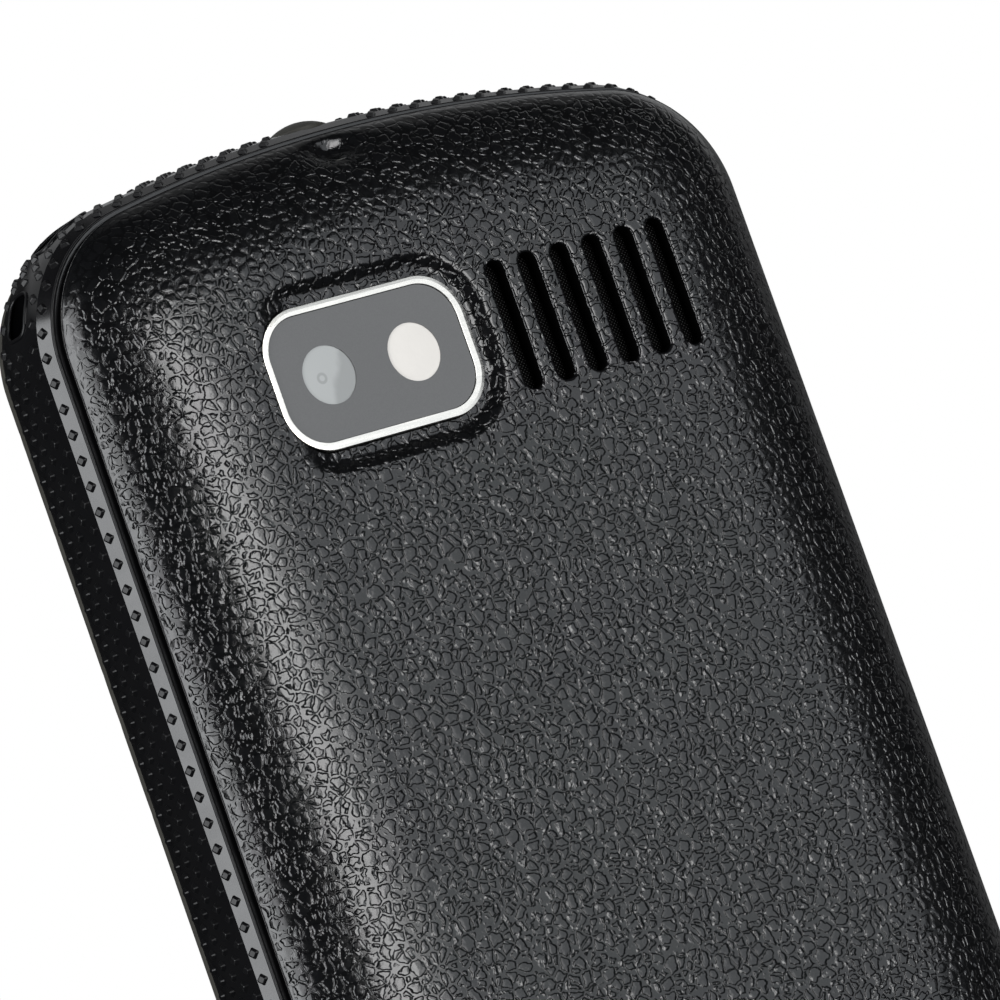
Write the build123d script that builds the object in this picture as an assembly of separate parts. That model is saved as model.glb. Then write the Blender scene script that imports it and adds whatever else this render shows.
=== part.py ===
from build123d import *
import math
import os

# A bar phone lying on its face. All sizes are millimetres.
# +Z points out of the back, +Y to the top edge, +X to the right as seen from behind.
# The origin is under the middle of the phone, in the plane of the front rim.

# Fits shared by many pieces
cut_overrun = 1.0
key_clearance = 0.2
seat_clearance = 0.1
slide_clearance = 0.25
screw_clearance = 0.05
shaft_clearance = 0.05

# Stack of the front face, from the bottom edge to the top edge
chin_margin = 8.0
key_width = 12.4
key_height = 6.4
key_gap_x = 1.8
key_gap_y = 1.7
key_columns = 3
key_rows = 4
key_corner = 1.6
nav_zone_height = 20.4
display_module_width = 42.0
display_module_length = 54.5
crown_margin = 10.4

# Outline of the body
side_margin = 7.75
corner_radius = 10.2
end_arc_radius = 111.0

# Side band, a barrel between the front seam and the rear seam
band_radius = 10.0
front_seam = 1.9
band_below_widest = 3.5
band_above_widest = 4.2
band_levels = 5
shoulder_above_widest = 2.45
shoulder_rise = 1.05
shoulder_inset = 1.0
groove_height = 0.35
groove_depth = 0.6

# Front housing
front_round_reach = 1.8
front_round_levels = 5
rim_width = 1.3
face_recess = 0.4
face_plate = 1.1
housing_inner_inset = 2.8

# Stack behind the face plate
gasket_thickness = 0.3
display_glass = 0.5
display_frame = 1.3
board_thickness = 0.8
deck_gap = 1.3
deck_thickness = 0.8

# Rear cover
cover_inset = 1.22
crown_reach = 11.0
crown_height = 4.8
crown_start_degrees = 12.0
crown_levels = 6
crown_corner_taper_share = 0.35
cover_wall = 1.2
bay_inset = 3.2
lip_thickness = 0.8
lip_depth = 0.6
lip_root = 1.6
nail_notch_x = -3.9
nail_notch_radius = 1.8
nail_notch_bite = 0.6

# Camera window, measured from the top edge and the centre line
camera_from_top = 17.7
camera_x = -7.75
bezel_width = 16.0
bezel_length = 9.7
bezel_corner = 3.2
bezel_border = 0.55
bezel_ledge_width = 1.7
bezel_ledge = 0.5
window_thickness = 0.8
window_drop = 0.1
moat_width = 1.35
moat_depth = 0.45
moat_floor_width = 0.45
lens_spacing = 6.9

# Camera tower of the mid frame and what stands in it
tower_gap = 0.2
tower_wall = 1.1
tower_inset = 0.3
camera_board_thickness = 0.6
camera_block_side = 6.0
camera_block_height = 2.6
barrel_radius = 2.7
lens_radius = 2.0
lens_pocket = 0.5
lens_thickness = 0.8
flash_side = 3.2
flash_height = 1.9
diffuser_radius = 2.1

# Loudspeaker and its slots
slot_count = 6
slot_pitch = 2.714
slot_width = 1.2
slot_length = 8.9
speaker_x = 10.8
speaker_width = 15.0
speaker_length = 10.5
speaker_height = 3.1
speaker_corner = 1.5
speaker_cone_width = 1.2
speaker_cone_depth = 0.6
chamber_wall = 1.3
chamber_height = 4.5
mesh_thickness = 0.15
mesh_gap = 0.15
mesh_margin = 0.5
foam_border = 1.0

# Display window and display
window_glass_overlap = 1.0
window_glass_shortfall = 1.25
window_glass_thickness = 0.75
window_glass_corner = 1.5
window_glass_drop = 0.05
view_border_x = 2.0
view_border_y = 3.25
gasket_border = 1.0
display_bezel = 1.0

# Earpiece and microphone
earpiece_width = 14.0
earpiece_length = 4.9
earpiece_corner = 1.5
earpiece_slot_width = 12.0
earpiece_slot_height = 1.6
earpiece_slot_corner = 0.7
earpiece_mesh_thickness = 0.3
earpiece_mesh_border = 0.5
microphone_radius = 1.6
microphone_height = 1.6
microphone_hole_radius = 0.6
microphone_x = 5.0
microphone_boot_wall = 0.4
microphone_from_bottom = 5.0

# Keys, mat and domes
key_drop = 0.1
key_flange = 0.4
key_flange_thickness = 0.5
key_plunger_side = 1.8
key_plunger_length = 0.95
key_crown_chamfer = 0.3
mat_thickness = 0.4
mat_below_flange = 0.45
mat_hole_clearance = 0.3
mat_margin = 0.5
dome_sheet_thickness = 0.1
dome_height = 0.08
dome_radius = 2.0
dome_sides = 8

# Keys round the navigation ring
nav_from_display = 9.3
nav_outer_radius = 7.4
nav_inner_radius = 3.7
nav_flange = 0.7
nav_flange_thickness = 0.4
nav_flange_drop = 0.5
nav_bore_step = 1.0
nav_roof = 0.7
nav_nub_radius = 0.7
nav_nub_circle = 6.2
nav_nub_length = 0.55
carrier_wall = 0.6
carrier_clearance = 0.35
carrier_drop = 0.3
carrier_height = 1.1
ok_radius = 3.35
side_key_width = 11.0
side_key_x = 15.8
soft_key_height = 5.0
soft_key_from_display = 4.2
call_key_height = 6.2
call_key_from_display = 12.6

# Main board and screws
board_inset = 3.4
screw_edge = 5.2
screw_from_end = 15.0
screw_sides = 12
screw_shank_radius = 0.7
screw_head_radius = 1.5
screw_head_height = 0.9
screw_socket_radius = 0.7
screw_socket_depth = 0.5
screw_socket_sides = 6
boss_radius = 2.0
boss_sides = 8
screw_tip_gap = 0.5

# Shield cans on the back of the board
shield_height = 1.1
shield_sheet = 0.2
radio_can_width = 26.0
radio_can_length = 20.0
radio_can_x = -6.0
radio_can_from_camera = 20.3
processor_can_width = 22.0
processor_can_length = 22.0
processor_can_x = 4.0
shield_can_gap = 11.0

# Battery, its bay and its connector
battery_width = 34.0
battery_length = 46.0
battery_thickness = 5.0
battery_corner = 1.2
battery_edge_chamfer = 0.5
bay_rail_width = 1.0
bay_rail_height = 2.6
connector_width = 12.0
connector_length = 3.0
connector_height = 3.4
connector_gap = 2.4
contact_count = 3
contact_pitch = 3.0
contact_width = 1.2
contact_reach = 0.6
contact_height = 1.6

# Card holders below the battery
holder_gap = 2.0
sim_width = 15.0
sim_length = 14.5
sim_spacing = 18.0
holder_height = 1.5
holder_sheet = 0.25
holder_slot = 0.9
card_width = 14.0
card_length = 11.0
holder_stop = 1.2

# Sockets in the bottom edge
usb_x = -9.0
usb_width = 7.6
usb_height = 2.6
usb_length = 5.8
usb_sheet = 0.3
usb_corner = 0.8
usb_tongue_width = 4.0
usb_tongue_height = 0.6
usb_back_wall = 1.2
usb_from_edge = 0.5
jack_x = 10.0
jack_width = 6.6
jack_height = 4.2
jack_body_length = 11.0
jack_collar_radius = 2.1
jack_from_edge = 0.4
jack_bore_radius = 1.8
jack_bore_length = 13.0

# Push button in the top edge
button_x = -2.5
button_z = 5.6
button_radius = 2.2
button_dome_radius = 3.8
button_proud = 0.57
button_flange_side = 1.2
button_flange_height = 3.4
button_flange_thickness = 0.7
button_plunger_radius = 0.9
button_plunger_length = 1.8
switch_width = 6.0
switch_length = 3.6
switch_height = 3.0
switch_nib_radius = 0.8
switch_nib_length = 0.5
switch_gap = 0.6

# Lanyard eyelet in the top corner, given by angles round the corner's centre
eyelet_side_degrees = 26.0
eyelet_side_width = 3.2
eyelet_top_degrees = 66.0
eyelet_top_width = 4.6
eyelet_channel_start_degrees = 16.0
eyelet_channel_end_degrees = 80.0
eyelet_post_depth = 2.8
eyelet_channel_depth = 2.4
eyelet_height = 2.4
eyelet_corner = 0.8
eyelet_wall = 1.2

# Vibration motor
motor_radius = 2.0
motor_length = 8.0
motor_x = 10.0
motor_from_top = 7.8
motor_lift = 0.1
motor_cradle_height = 1.2
motor_cradle_share = 0.7
weight_radius = 1.9
weight_length = 2.6
weight_gap = 0.4
weight_shaft_radius = 0.4
weight_shaft_depth = 2.4

# Antenna foil on the deck
antenna_width = 3.2
antenna_length = 30.0
antenna_thickness = 0.3
antenna_from_edge = 6.5
antenna_from_camera = 22.3
antenna_slot = 0.8

# Heights worked out from the stack
face_back = face_recess + face_plate
display_front = face_back + gasket_thickness
board_front = display_front + display_glass + display_frame
board_back = board_front + board_thickness
deck_low = board_back + deck_gap
deck_top = deck_low + deck_thickness
band_widest = front_seam + band_below_widest
rear_seam = band_widest + band_above_widest
shoulder_low = band_widest + shoulder_above_widest
shoulder_high = shoulder_low + shoulder_rise
groove_low = rear_seam - groove_height

# Overall outline worked out from what the face holds
keypad_width = key_columns * key_width + (key_columns - 1) * key_gap_x
keypad_length = key_rows * key_height + (key_rows - 1) * key_gap_y
body_width = max(display_module_width, keypad_width) + 2 * side_margin
body_length = chin_margin + keypad_length + nav_zone_height + display_module_length + crown_margin
top_edge = body_length / 2
bottom_edge = -body_length / 2

# Places along the body
display_top = top_edge - crown_margin
display_bottom = display_top - display_module_length
display_y = (display_top + display_bottom) / 2
window_glass_width = display_module_width + 2 * window_glass_overlap
window_glass_length = display_module_length - 2 * window_glass_shortfall
view_width = display_module_width - 2 * view_border_x
view_length = display_module_length - 2 * view_border_y
nav_y = display_bottom - nav_from_display
soft_key_y = display_bottom - soft_key_from_display
call_key_y = display_bottom - call_key_from_display
earpiece_y = display_top + (crown_margin - housing_inner_inset) / 2
camera_y = top_edge - camera_from_top
microphone_y = bottom_edge + microphone_from_bottom

# Corner centre shared by every parallel outline
end_centre_y = top_edge - end_arc_radius
corner_centre_x = body_width / 2 - corner_radius
corner_centre_y = end_centre_y + math.sqrt((end_arc_radius - corner_radius) ** 2 - corner_centre_x ** 2)

# Heights of the rear cover
crown_start = math.radians(crown_start_degrees)
crown_base = rear_seam - crown_height * math.sin(crown_start)
cover_top = crown_base + crown_height
cover_under = cover_top - cover_wall

# Camera stack, from the cover's outside down to the deck
bezel_top = cover_top
window_top = bezel_top - window_drop
window_low = window_top - window_thickness
bezel_low = window_low - bezel_ledge
tower_width = bezel_width - 2 * tower_inset
tower_length = bezel_length - 2 * tower_inset
pocket_width = tower_width - 2 * tower_wall
pocket_length = tower_length - 2 * tower_wall
lens_x = camera_x - lens_spacing / 2
flash_x = camera_x + lens_spacing / 2
camera_board_top = deck_top + camera_board_thickness

# Rear side places below the camera
connector_y = camera_y - tower_length / 2 - connector_gap - connector_length / 2
battery_top = connector_y - connector_length / 2 - contact_reach - seat_clearance
battery_y = battery_top - battery_length / 2
radio_can_y = camera_y - radio_can_from_camera
processor_can_y = radio_can_y - (radio_can_length + processor_can_length) / 2 - shield_can_gap
antenna_x = body_width / 2 - antenna_from_edge
antenna_y = camera_y - antenna_from_camera
sim_y = battery_top - battery_length - holder_gap - sim_length / 2
card_y = sim_y - sim_length / 2 - holder_gap - card_length / 2

# Key levels
key_front = face_recess + key_drop
key_back = face_back + seat_clearance + key_flange_thickness
mat_low = key_back + mat_below_flange
dome_low = board_front - dome_sheet_thickness

screw_x = body_width / 2 - screw_edge
screw_y = top_edge - screw_from_end
screw_places = [(side * screw_x, y) for y in (screw_y, 0, -screw_y) for side in (-1, 1)]


def end_reach(x, inset):
    """Distance from the middle of the phone to its arched end, at a place across and an inset."""
    return end_centre_y + math.sqrt((end_arc_radius - inset) ** 2 - x ** 2)


def band_inset(height):
    """Inset of the barrel-shaped side band at a height."""
    return band_radius - math.sqrt(band_radius ** 2 - (height - band_widest) ** 2)


def plan(inset, height=0, corner=None):
    """Flat outline of the body: straight sides, round corners and gently arched ends.

    Without a corner radius of its own the outline runs parallel to the body's widest outline.
    """
    half_width = body_width / 2 - inset
    half_length = body_length / 2 - inset
    radius = corner_radius - inset if corner is None else corner
    end_radius = end_arc_radius - inset
    arc_y = half_length - end_radius
    corner_x = half_width - radius
    corner_y = arc_y + math.sqrt((end_radius - radius) ** 2 - corner_x ** 2)
    tilt = math.atan2(corner_y - arc_y, corner_x)
    middle = (corner_x + radius * math.cos(tilt / 2), corner_y + radius * math.sin(tilt / 2))
    end = (corner_x + radius * math.cos(tilt), corner_y + radius * math.sin(tilt))
    edges = []
    for sign in (1, -1):
        side = (sign * half_width, sign * corner_y)
        joint = (sign * end[0], sign * end[1])
        far_joint = (-sign * end[0], sign * end[1])
        far_side = (-sign * half_width, sign * corner_y)
        edges.append(Line((sign * half_width, -sign * corner_y), side))
        edges.append(ThreePointArc(side, (sign * middle[0], sign * middle[1]), joint))
        edges.append(ThreePointArc(joint, (0, sign * half_length), far_joint))
        edges.append(ThreePointArc(far_joint, (-sign * middle[0], sign * middle[1]), far_side))
    return Pos(0, 0, height) * Face(Wire(edges))


def slab(inset, low, high):
    """Plate with the body's outline between two heights."""
    return extrude(plan(inset, low), amount=high - low, dir=(0, 0, 1))


def block(width, length, low, high, at=(0, 0), corner=0):
    """Upright block on a rectangle, with round corners where a radius is given."""
    shape = RectangleRounded(width, length, corner) if corner else Rectangle(width, length)
    return Pos(at[0], at[1], low) * extrude(shape, amount=high - low)


def frame_block(width, length, border, low, high, at=(0, 0), corner=0):
    """Upright rectangular frame of one border width."""
    inner_corner = max(corner - border, 0)
    inner = block(width - 2 * border, length - 2 * border, low, high, at, inner_corner)
    return block(width, length, low, high, at, corner) - inner


def post(radius, low, high, at=(0, 0)):
    """Upright cylinder between two heights."""
    return Pos(at[0], at[1], low) * extrude(Circle(radius), amount=high - low)


def prism(radius, sides, low, high, at=(0, 0)):
    """Upright many-sided post between two heights."""
    return Pos(at[0], at[1], low) * extrude(RegularPolygon(radius, sides), amount=high - low)


def tube(outer, inner, low, high, at=(0, 0)):
    """Upright tube between two heights."""
    return Pos(at[0], at[1], low) * extrude(Circle(outer) - Circle(inner), amount=high - low)


def along_y(shape, start, end, x, z):
    """Carry a flat shape, drawn in X and Z, along Y from start to end."""
    sketch = Plane(origin=(x, start, z), x_dir=(1, 0, 0), z_dir=(0, 1, 0)) * shape
    return extrude(sketch, amount=end - start, dir=(0, 1, 0))


def along_x(shape, start, end, y, z):
    """Carry a flat shape, drawn in Y and Z, along X from start to end."""
    sketch = Plane(origin=(start, y, z), x_dir=(0, 1, 0), z_dir=(1, 0, 0)) * shape
    return extrude(sketch, amount=end - start, dir=(1, 0, 0))


def sector(inner, outer, start_degrees, end_degrees, low, high):
    """Ring sector round the eyelet corner's centre, with angles from the left side towards the top."""
    centre = (-corner_centre_x, corner_centre_y)

    def point(radius, degrees):
        angle = math.radians(180 - degrees)
        return (centre[0] + radius * math.cos(angle), centre[1] + radius * math.sin(angle))

    half_way = (start_degrees + end_degrees) / 2
    edges = [
        ThreePointArc(point(outer, start_degrees), point(outer, half_way), point(outer, end_degrees)),
        Line(point(outer, end_degrees), point(inner, end_degrees)),
        ThreePointArc(point(inner, end_degrees), point(inner, half_way), point(inner, start_degrees)),
        Line(point(inner, start_degrees), point(outer, start_degrees)),
    ]
    return Pos(0, 0, low) * extrude(Face(Wire(edges)), amount=high - low, dir=(0, 0, 1))


# Key table: name, width, height and centre of every key that is a plain rounded rectangle
def key_table():
    """Digits in a telephone grid, and the four keys beside the navigation ring.

    Seen from the front the first column is on the left, which is +X in this frame.
    """
    names = ["key_1", "key_2", "key_3", "key_4", "key_5", "key_6",
             "key_7", "key_8", "key_9", "key_star", "key_0", "key_hash"]
    lowest_row = bottom_edge + chin_margin + key_height / 2
    table = []
    for index, name in enumerate(names):
        row, column = divmod(index, key_columns)
        x = ((key_columns - 1) / 2 - column) * (key_width + key_gap_x)
        y = lowest_row + (key_rows - 1 - row) * (key_height + key_gap_y)
        table.append((name, key_width, key_height, (x, y)))
    table.append(("soft_key_left", side_key_width, soft_key_height, (side_key_x, soft_key_y)))
    table.append(("soft_key_right", side_key_width, soft_key_height, (-side_key_x, soft_key_y)))
    table.append(("call_key", side_key_width, call_key_height, (side_key_x, call_key_y)))
    table.append(("end_key", side_key_width, call_key_height, (-side_key_x, call_key_y)))
    return table


# Values of the lanyard eyelet
eyelet_low = band_widest - eyelet_height / 2
eyelet_high = band_widest + eyelet_height / 2
channel_outer = corner_radius - eyelet_post_depth
channel_inner = channel_outer - eyelet_channel_depth
eyelet_core = channel_inner - eyelet_wall
eyelet_block_top = eyelet_high + eyelet_wall

# Values of the button in the top edge
button_flange_width = 2 * (button_radius + button_flange_side)
button_pocket_width = button_flange_width + 2 * key_clearance
bay_top_wall = end_reach(abs(button_x) + button_pocket_width / 2, bay_inset)
button_tip = top_edge + button_proud
button_flange_face = bay_top_wall - seat_clearance
button_flange_back = button_flange_face - button_flange_thickness
plunger_end = button_flange_back - button_plunger_length
switch_face = plunger_end - switch_gap
switch_back = switch_face - switch_nib_length - switch_length

# Values of the sockets
usb_mouth = -end_reach(usb_x, usb_from_edge)
usb_z = board_back + usb_height / 2
jack_z = board_back + jack_height / 2
jack_front = seat_clearance - end_reach(jack_x + jack_width / 2, bay_inset)
jack_mouth = -end_reach(jack_x, jack_from_edge)
jack_end = jack_front + jack_body_length

# Values of the motor
motor_y = top_edge - motor_from_top
motor_z = deck_top + motor_lift + motor_radius
motor_end = motor_x + motor_length / 2


def eyelet_block(low, high, growth=0):
    """Solid corner that the lanyard channel is cut from."""
    spread = math.degrees(growth / eyelet_core)
    return sector(eyelet_core - growth, corner_radius, -spread, 90 + spread, low, high)


def eyelet_mouth(degrees, width):
    """Rounded opening from the lanyard channel straight out through the corner."""
    angle = math.radians(180 - degrees)
    out = (math.cos(angle), math.sin(angle), 0)
    start = (channel_inner * out[0] - corner_centre_x, channel_inner * out[1] + corner_centre_y, band_widest)
    sketch = Plane(origin=start, x_dir=(-out[1], out[0], 0), z_dir=out) * RectangleRounded(
        width, eyelet_height, eyelet_corner)
    return extrude(sketch, amount=corner_radius + cut_overrun - channel_inner, dir=out)


def mid_frame():
    """Barrel-sided frame with a rolled shoulder, a deck, the camera tower, the speaker chamber and the eyelet."""
    rise = (shoulder_low - front_seam) / (band_levels - 1)
    body = loft([plan(band_inset(front_seam + rise * k), front_seam + rise * k) for k in range(band_levels)])
    body += [
        loft([plan(band_inset(shoulder_low), shoulder_low), plan(shoulder_inset, shoulder_high)]),
        slab(shoulder_inset, shoulder_high, groove_low),
        slab(shoulder_inset + groove_depth, groove_low, rear_seam),
    ]
    corner = eyelet_block(front_seam, eyelet_block_top)
    upper = slab(bay_inset, deck_top, rear_seam + cut_overrun) - corner
    lower = slab(housing_inner_inset, front_seam - cut_overrun, deck_low) - corner
    body -= [upper, lower]
    body += [
        block(tower_width, tower_length, deck_low, bezel_low, (camera_x, camera_y), bezel_corner - tower_inset),
        block(speaker_width + 2 * chamber_wall, speaker_length + 2 * chamber_wall, deck_low,
              deck_top + chamber_height, (speaker_x, camera_y), speaker_corner + chamber_wall),
        block(motor_length, 2 * motor_radius * motor_cradle_share, deck_low,
              deck_top + motor_cradle_height, (motor_x, motor_y)),
    ]
    rail_x = battery_width / 2 + slide_clearance + bay_rail_width / 2
    for side in (-1, 1):
        body += block(bay_rail_width, battery_length, deck_low, deck_top + bay_rail_height,
                      (side * rail_x, battery_y))
    body += [prism(boss_radius, boss_sides, board_back, deck_top, place) for place in screw_places]
    cuts = [
        block(pocket_width, pocket_length, deck_top, bezel_low + cut_overrun, (camera_x, camera_y)),
        block(speaker_width + 2 * seat_clearance, speaker_length + 2 * seat_clearance, deck_top,
              deck_top + chamber_height + cut_overrun, (speaker_x, camera_y), speaker_corner),
        along_x(Circle(motor_radius + shaft_clearance), motor_x - motor_length, motor_x + motor_length,
                motor_y, motor_z),
        along_y(Circle(button_radius + key_clearance), bay_top_wall - cut_overrun, button_tip, button_x,
                button_z),
        block(button_pocket_width, bay_top_wall - switch_back + slide_clearance, board_front,
              rear_seam + cut_overrun, (button_x, (bay_top_wall + switch_back - slide_clearance) / 2)),
        along_y(RectangleRounded(usb_width + 2 * key_clearance, usb_height + 2 * key_clearance, usb_corner),
                bottom_edge - cut_overrun, usb_mouth + usb_length + slide_clearance, usb_x, usb_z),
        along_y(Circle(jack_collar_radius + key_clearance), bottom_edge - cut_overrun,
                jack_front + cut_overrun, jack_x, jack_z),
        block(jack_width + 2 * slide_clearance, jack_body_length + slide_clearance, board_back,
              deck_top + cut_overrun, (jack_x, jack_end - (jack_body_length - slide_clearance) / 2)),
        sector(channel_inner, channel_outer, eyelet_channel_start_degrees, eyelet_channel_end_degrees,
               eyelet_low, eyelet_high),
        eyelet_mouth(eyelet_side_degrees, eyelet_side_width),
        eyelet_mouth(eyelet_top_degrees, eyelet_top_width),
    ]
    cuts += [post(screw_shank_radius + screw_clearance, front_seam, deck_top + cut_overrun, place)
             for place in screw_places]
    return body - cuts


def front_housing():
    """Face shell with a rest rim, the display rebate, the key openings and the screw bosses."""
    foot = band_inset(front_seam)
    levels = []
    for k in range(front_round_levels):
        turn = math.pi / 2 * k / (front_round_levels - 1)
        levels.append((foot + front_round_reach * (1 - math.cos(turn)), front_seam * (1 - math.sin(turn))))
    body = loft([plan(inset, z) for inset, z in levels])
    face_inset = foot + front_round_reach + rim_width
    body -= [slab(face_inset, -cut_overrun, face_recess),
             slab(housing_inner_inset, face_back, front_seam + cut_overrun)]
    body += [prism(boss_radius, boss_sides, face_recess, board_front, place) for place in screw_places]
    glass_low = face_recess + window_glass_drop
    cuts = [
        block(window_glass_width + 2 * seat_clearance, window_glass_length + 2 * seat_clearance,
              -cut_overrun, glass_low + window_glass_thickness, (0, display_y), window_glass_corner),
        block(view_width, view_length, 0, face_back + cut_overrun, (0, display_y), window_glass_corner),
        block(earpiece_slot_width, earpiece_slot_height, 0, face_back, (0, earpiece_y),
              earpiece_slot_corner),
        block(earpiece_slot_width + 2 * earpiece_mesh_border, earpiece_slot_height + 2 * earpiece_mesh_border,
              face_back - earpiece_mesh_thickness, face_back + cut_overrun, (0, earpiece_y)),
        post(microphone_hole_radius, 0, face_back + cut_overrun, (microphone_x, microphone_y)),
        post(nav_outer_radius + key_clearance, 0, face_back + cut_overrun, (0, nav_y)),
    ]
    for _, width, height, place in key_table():
        cuts.append(block(width + 2 * key_clearance, height + 2 * key_clearance, 0, face_back + cut_overrun,
                          place, key_corner + key_clearance))
    cuts += [post(screw_shank_radius + screw_clearance, face_back, board_front + cut_overrun, place)
             for place in screw_places]
    return body - cuts


def crown_level(turn, wall):
    """Inset and height of the cover's elliptical shoulder, measured a wall's thickness inside it."""
    centre_inset = cover_inset + crown_reach * math.cos(crown_start)
    inset = centre_inset - (crown_reach - wall) * math.cos(turn)
    return inset, crown_base + (crown_height - wall) * math.sin(turn)


def crown(wall):
    """Domed body of the rear cover, from the rear seam up to its nearly flat back."""
    start = math.asin((rear_seam - crown_base) / (crown_height - wall))
    sections = []
    for k in range(crown_levels):
        inset, height = crown_level(start + (math.pi / 2 - start) * k / (crown_levels - 1), wall)
        corner = corner_radius - cover_inset - (inset - cover_inset) * crown_corner_taper_share
        sections.append(plan(inset, height, corner))
    return loft(sections)


def rear_cover():
    """Moulded lift-off back with the camera opening in its moat, six sound slots and a nail notch."""
    body = crown(0) - crown(cover_wall)
    lip_inset = bay_inset + slide_clearance
    lip = slab(lip_inset, rear_seam - lip_depth, rear_seam + lip_root)
    body += lip - slab(lip_inset + lip_thickness, rear_seam - lip_depth, rear_seam + lip_root)
    opening_width = bezel_width + 2 * slide_clearance
    opening_length = bezel_length + 2 * slide_clearance
    camera = (camera_x, camera_y)
    moat = loft([
        Pos(camera_x, camera_y, cover_top - moat_depth) * RectangleRounded(
            opening_width + 2 * moat_floor_width, opening_length + 2 * moat_floor_width,
            bezel_corner + moat_floor_width),
        Pos(camera_x, camera_y, cover_top) * RectangleRounded(
            opening_width + 2 * moat_width, opening_length + 2 * moat_width, bezel_corner + moat_width),
    ])
    opening = block(opening_width, opening_length, rear_seam, cover_top + cut_overrun, camera,
                    bezel_corner + slide_clearance)
    cuts = [moat, opening]
    for k in range(slot_count):
        x = speaker_x + (k - (slot_count - 1) / 2) * slot_pitch
        cuts.append(Pos(x, camera_y, rear_seam) * extrude(
            SlotOverall(slot_length, slot_width, rotation=90), amount=crown_height + cut_overrun))
    notch_y = top_edge - cover_inset + nail_notch_radius - nail_notch_bite
    cuts.append(Pos(nail_notch_x, notch_y, rear_seam) * Sphere(nail_notch_radius))
    return body - cuts


def display_pieces():
    """Front window, its gasket and the display module behind it."""
    centre = (0, display_y)
    glass_low = face_recess + window_glass_drop
    glass_frame = display_front + display_glass
    module = block(display_module_width, display_module_length, glass_frame, board_front, centre)
    module += block(display_module_width - 2 * display_bezel, display_module_length - 2 * display_bezel,
                    display_front, glass_frame, centre)
    return {
        "display_window": block(window_glass_width, window_glass_length, glass_low,
                                glass_low + window_glass_thickness, centre, window_glass_corner),
        "screen_gasket": frame_block(view_width + 2 * gasket_border, view_length + 2 * gasket_border,
                                     gasket_border, face_back, display_front, centre),
        "display_module": module,
    }


def board_pieces():
    """Main board with its notches, two shield cans, and the screws that clamp it."""
    board = slab(board_inset, board_front, board_back)
    notch_length = top_edge - switch_face
    cuts = [
        eyelet_block(board_front, board_back, slide_clearance),
        block(button_pocket_width, notch_length, board_front, board_back,
              (button_x, top_edge - notch_length / 2)),
    ]
    cuts += [post(screw_shank_radius + screw_clearance, board_front, board_back, p) for p in screw_places]
    screws = []
    socket = RegularPolygon(screw_socket_radius, screw_socket_sides)
    for place in screw_places:
        screw = prism(screw_shank_radius, screw_sides, face_back + screw_tip_gap, deck_top, place)
        screw += prism(screw_head_radius, screw_sides, deck_top, deck_top + screw_head_height, place)
        socket_floor = deck_top + screw_head_height - screw_socket_depth
        screws.append(screw - Pos(place[0], place[1], socket_floor) * extrude(socket, amount=screw_socket_depth))
    return {
        "main_board": board - cuts,
        "shield_can_radio": shield_can(radio_can_width, radio_can_length, (radio_can_x, radio_can_y)),
        "shield_can_processor": shield_can(processor_can_width, processor_can_length,
                                           (processor_can_x, processor_can_y)),
        "housing_screws": Compound([s.solid() for s in screws]),
    }


def shield_can(width, length, place):
    """Pressed lid with thin walls, open towards the board."""
    can = block(width, length, board_back, board_back + shield_height, place)
    return can - block(width - 2 * shield_sheet, length - 2 * shield_sheet, board_back,
                       board_back + shield_height - shield_sheet, place)


def sound_pieces():
    """Earpiece, microphone and loudspeaker with their meshes, boot and foam."""
    speaker = (speaker_x, camera_y)
    speaker_top = deck_top + speaker_height
    cone_border = 2 * speaker_cone_width
    loudspeaker = block(speaker_width, speaker_length, deck_top, speaker_top, speaker, speaker_corner)
    loudspeaker -= block(speaker_width - cone_border, speaker_length - cone_border,
                         speaker_top - speaker_cone_depth, speaker_top, speaker)
    mesh_top = cover_under - mesh_gap
    mesh_low = mesh_top - mesh_thickness
    mesh_width = (slot_count - 1) * slot_pitch + slot_width + 2 * mesh_margin
    microphone = (microphone_x, microphone_y)
    boot_outer = microphone_radius + shaft_clearance + microphone_boot_wall
    boot = tube(boot_outer, microphone_radius + shaft_clearance, face_back, board_front, microphone)
    return {
        "earpiece": block(earpiece_width, earpiece_length, face_back, board_front, (0, earpiece_y),
                          earpiece_corner),
        "earpiece_mesh": block(earpiece_slot_width + 2 * (earpiece_mesh_border - seat_clearance),
                               earpiece_slot_height + 2 * (earpiece_mesh_border - seat_clearance),
                               face_back - earpiece_mesh_thickness, face_back, (0, earpiece_y)),
        "microphone": post(microphone_radius, board_front - microphone_height, board_front, microphone),
        "microphone_boot": boot,
        "loudspeaker": loudspeaker,
        "speaker_gasket": frame_block(speaker_width, speaker_length, foam_border, speaker_top,
                                      mesh_low - seat_clearance, speaker, speaker_corner),
        "speaker_mesh": block(mesh_width, slot_length + 2 * mesh_margin, mesh_low, mesh_top, speaker),
    }


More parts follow.
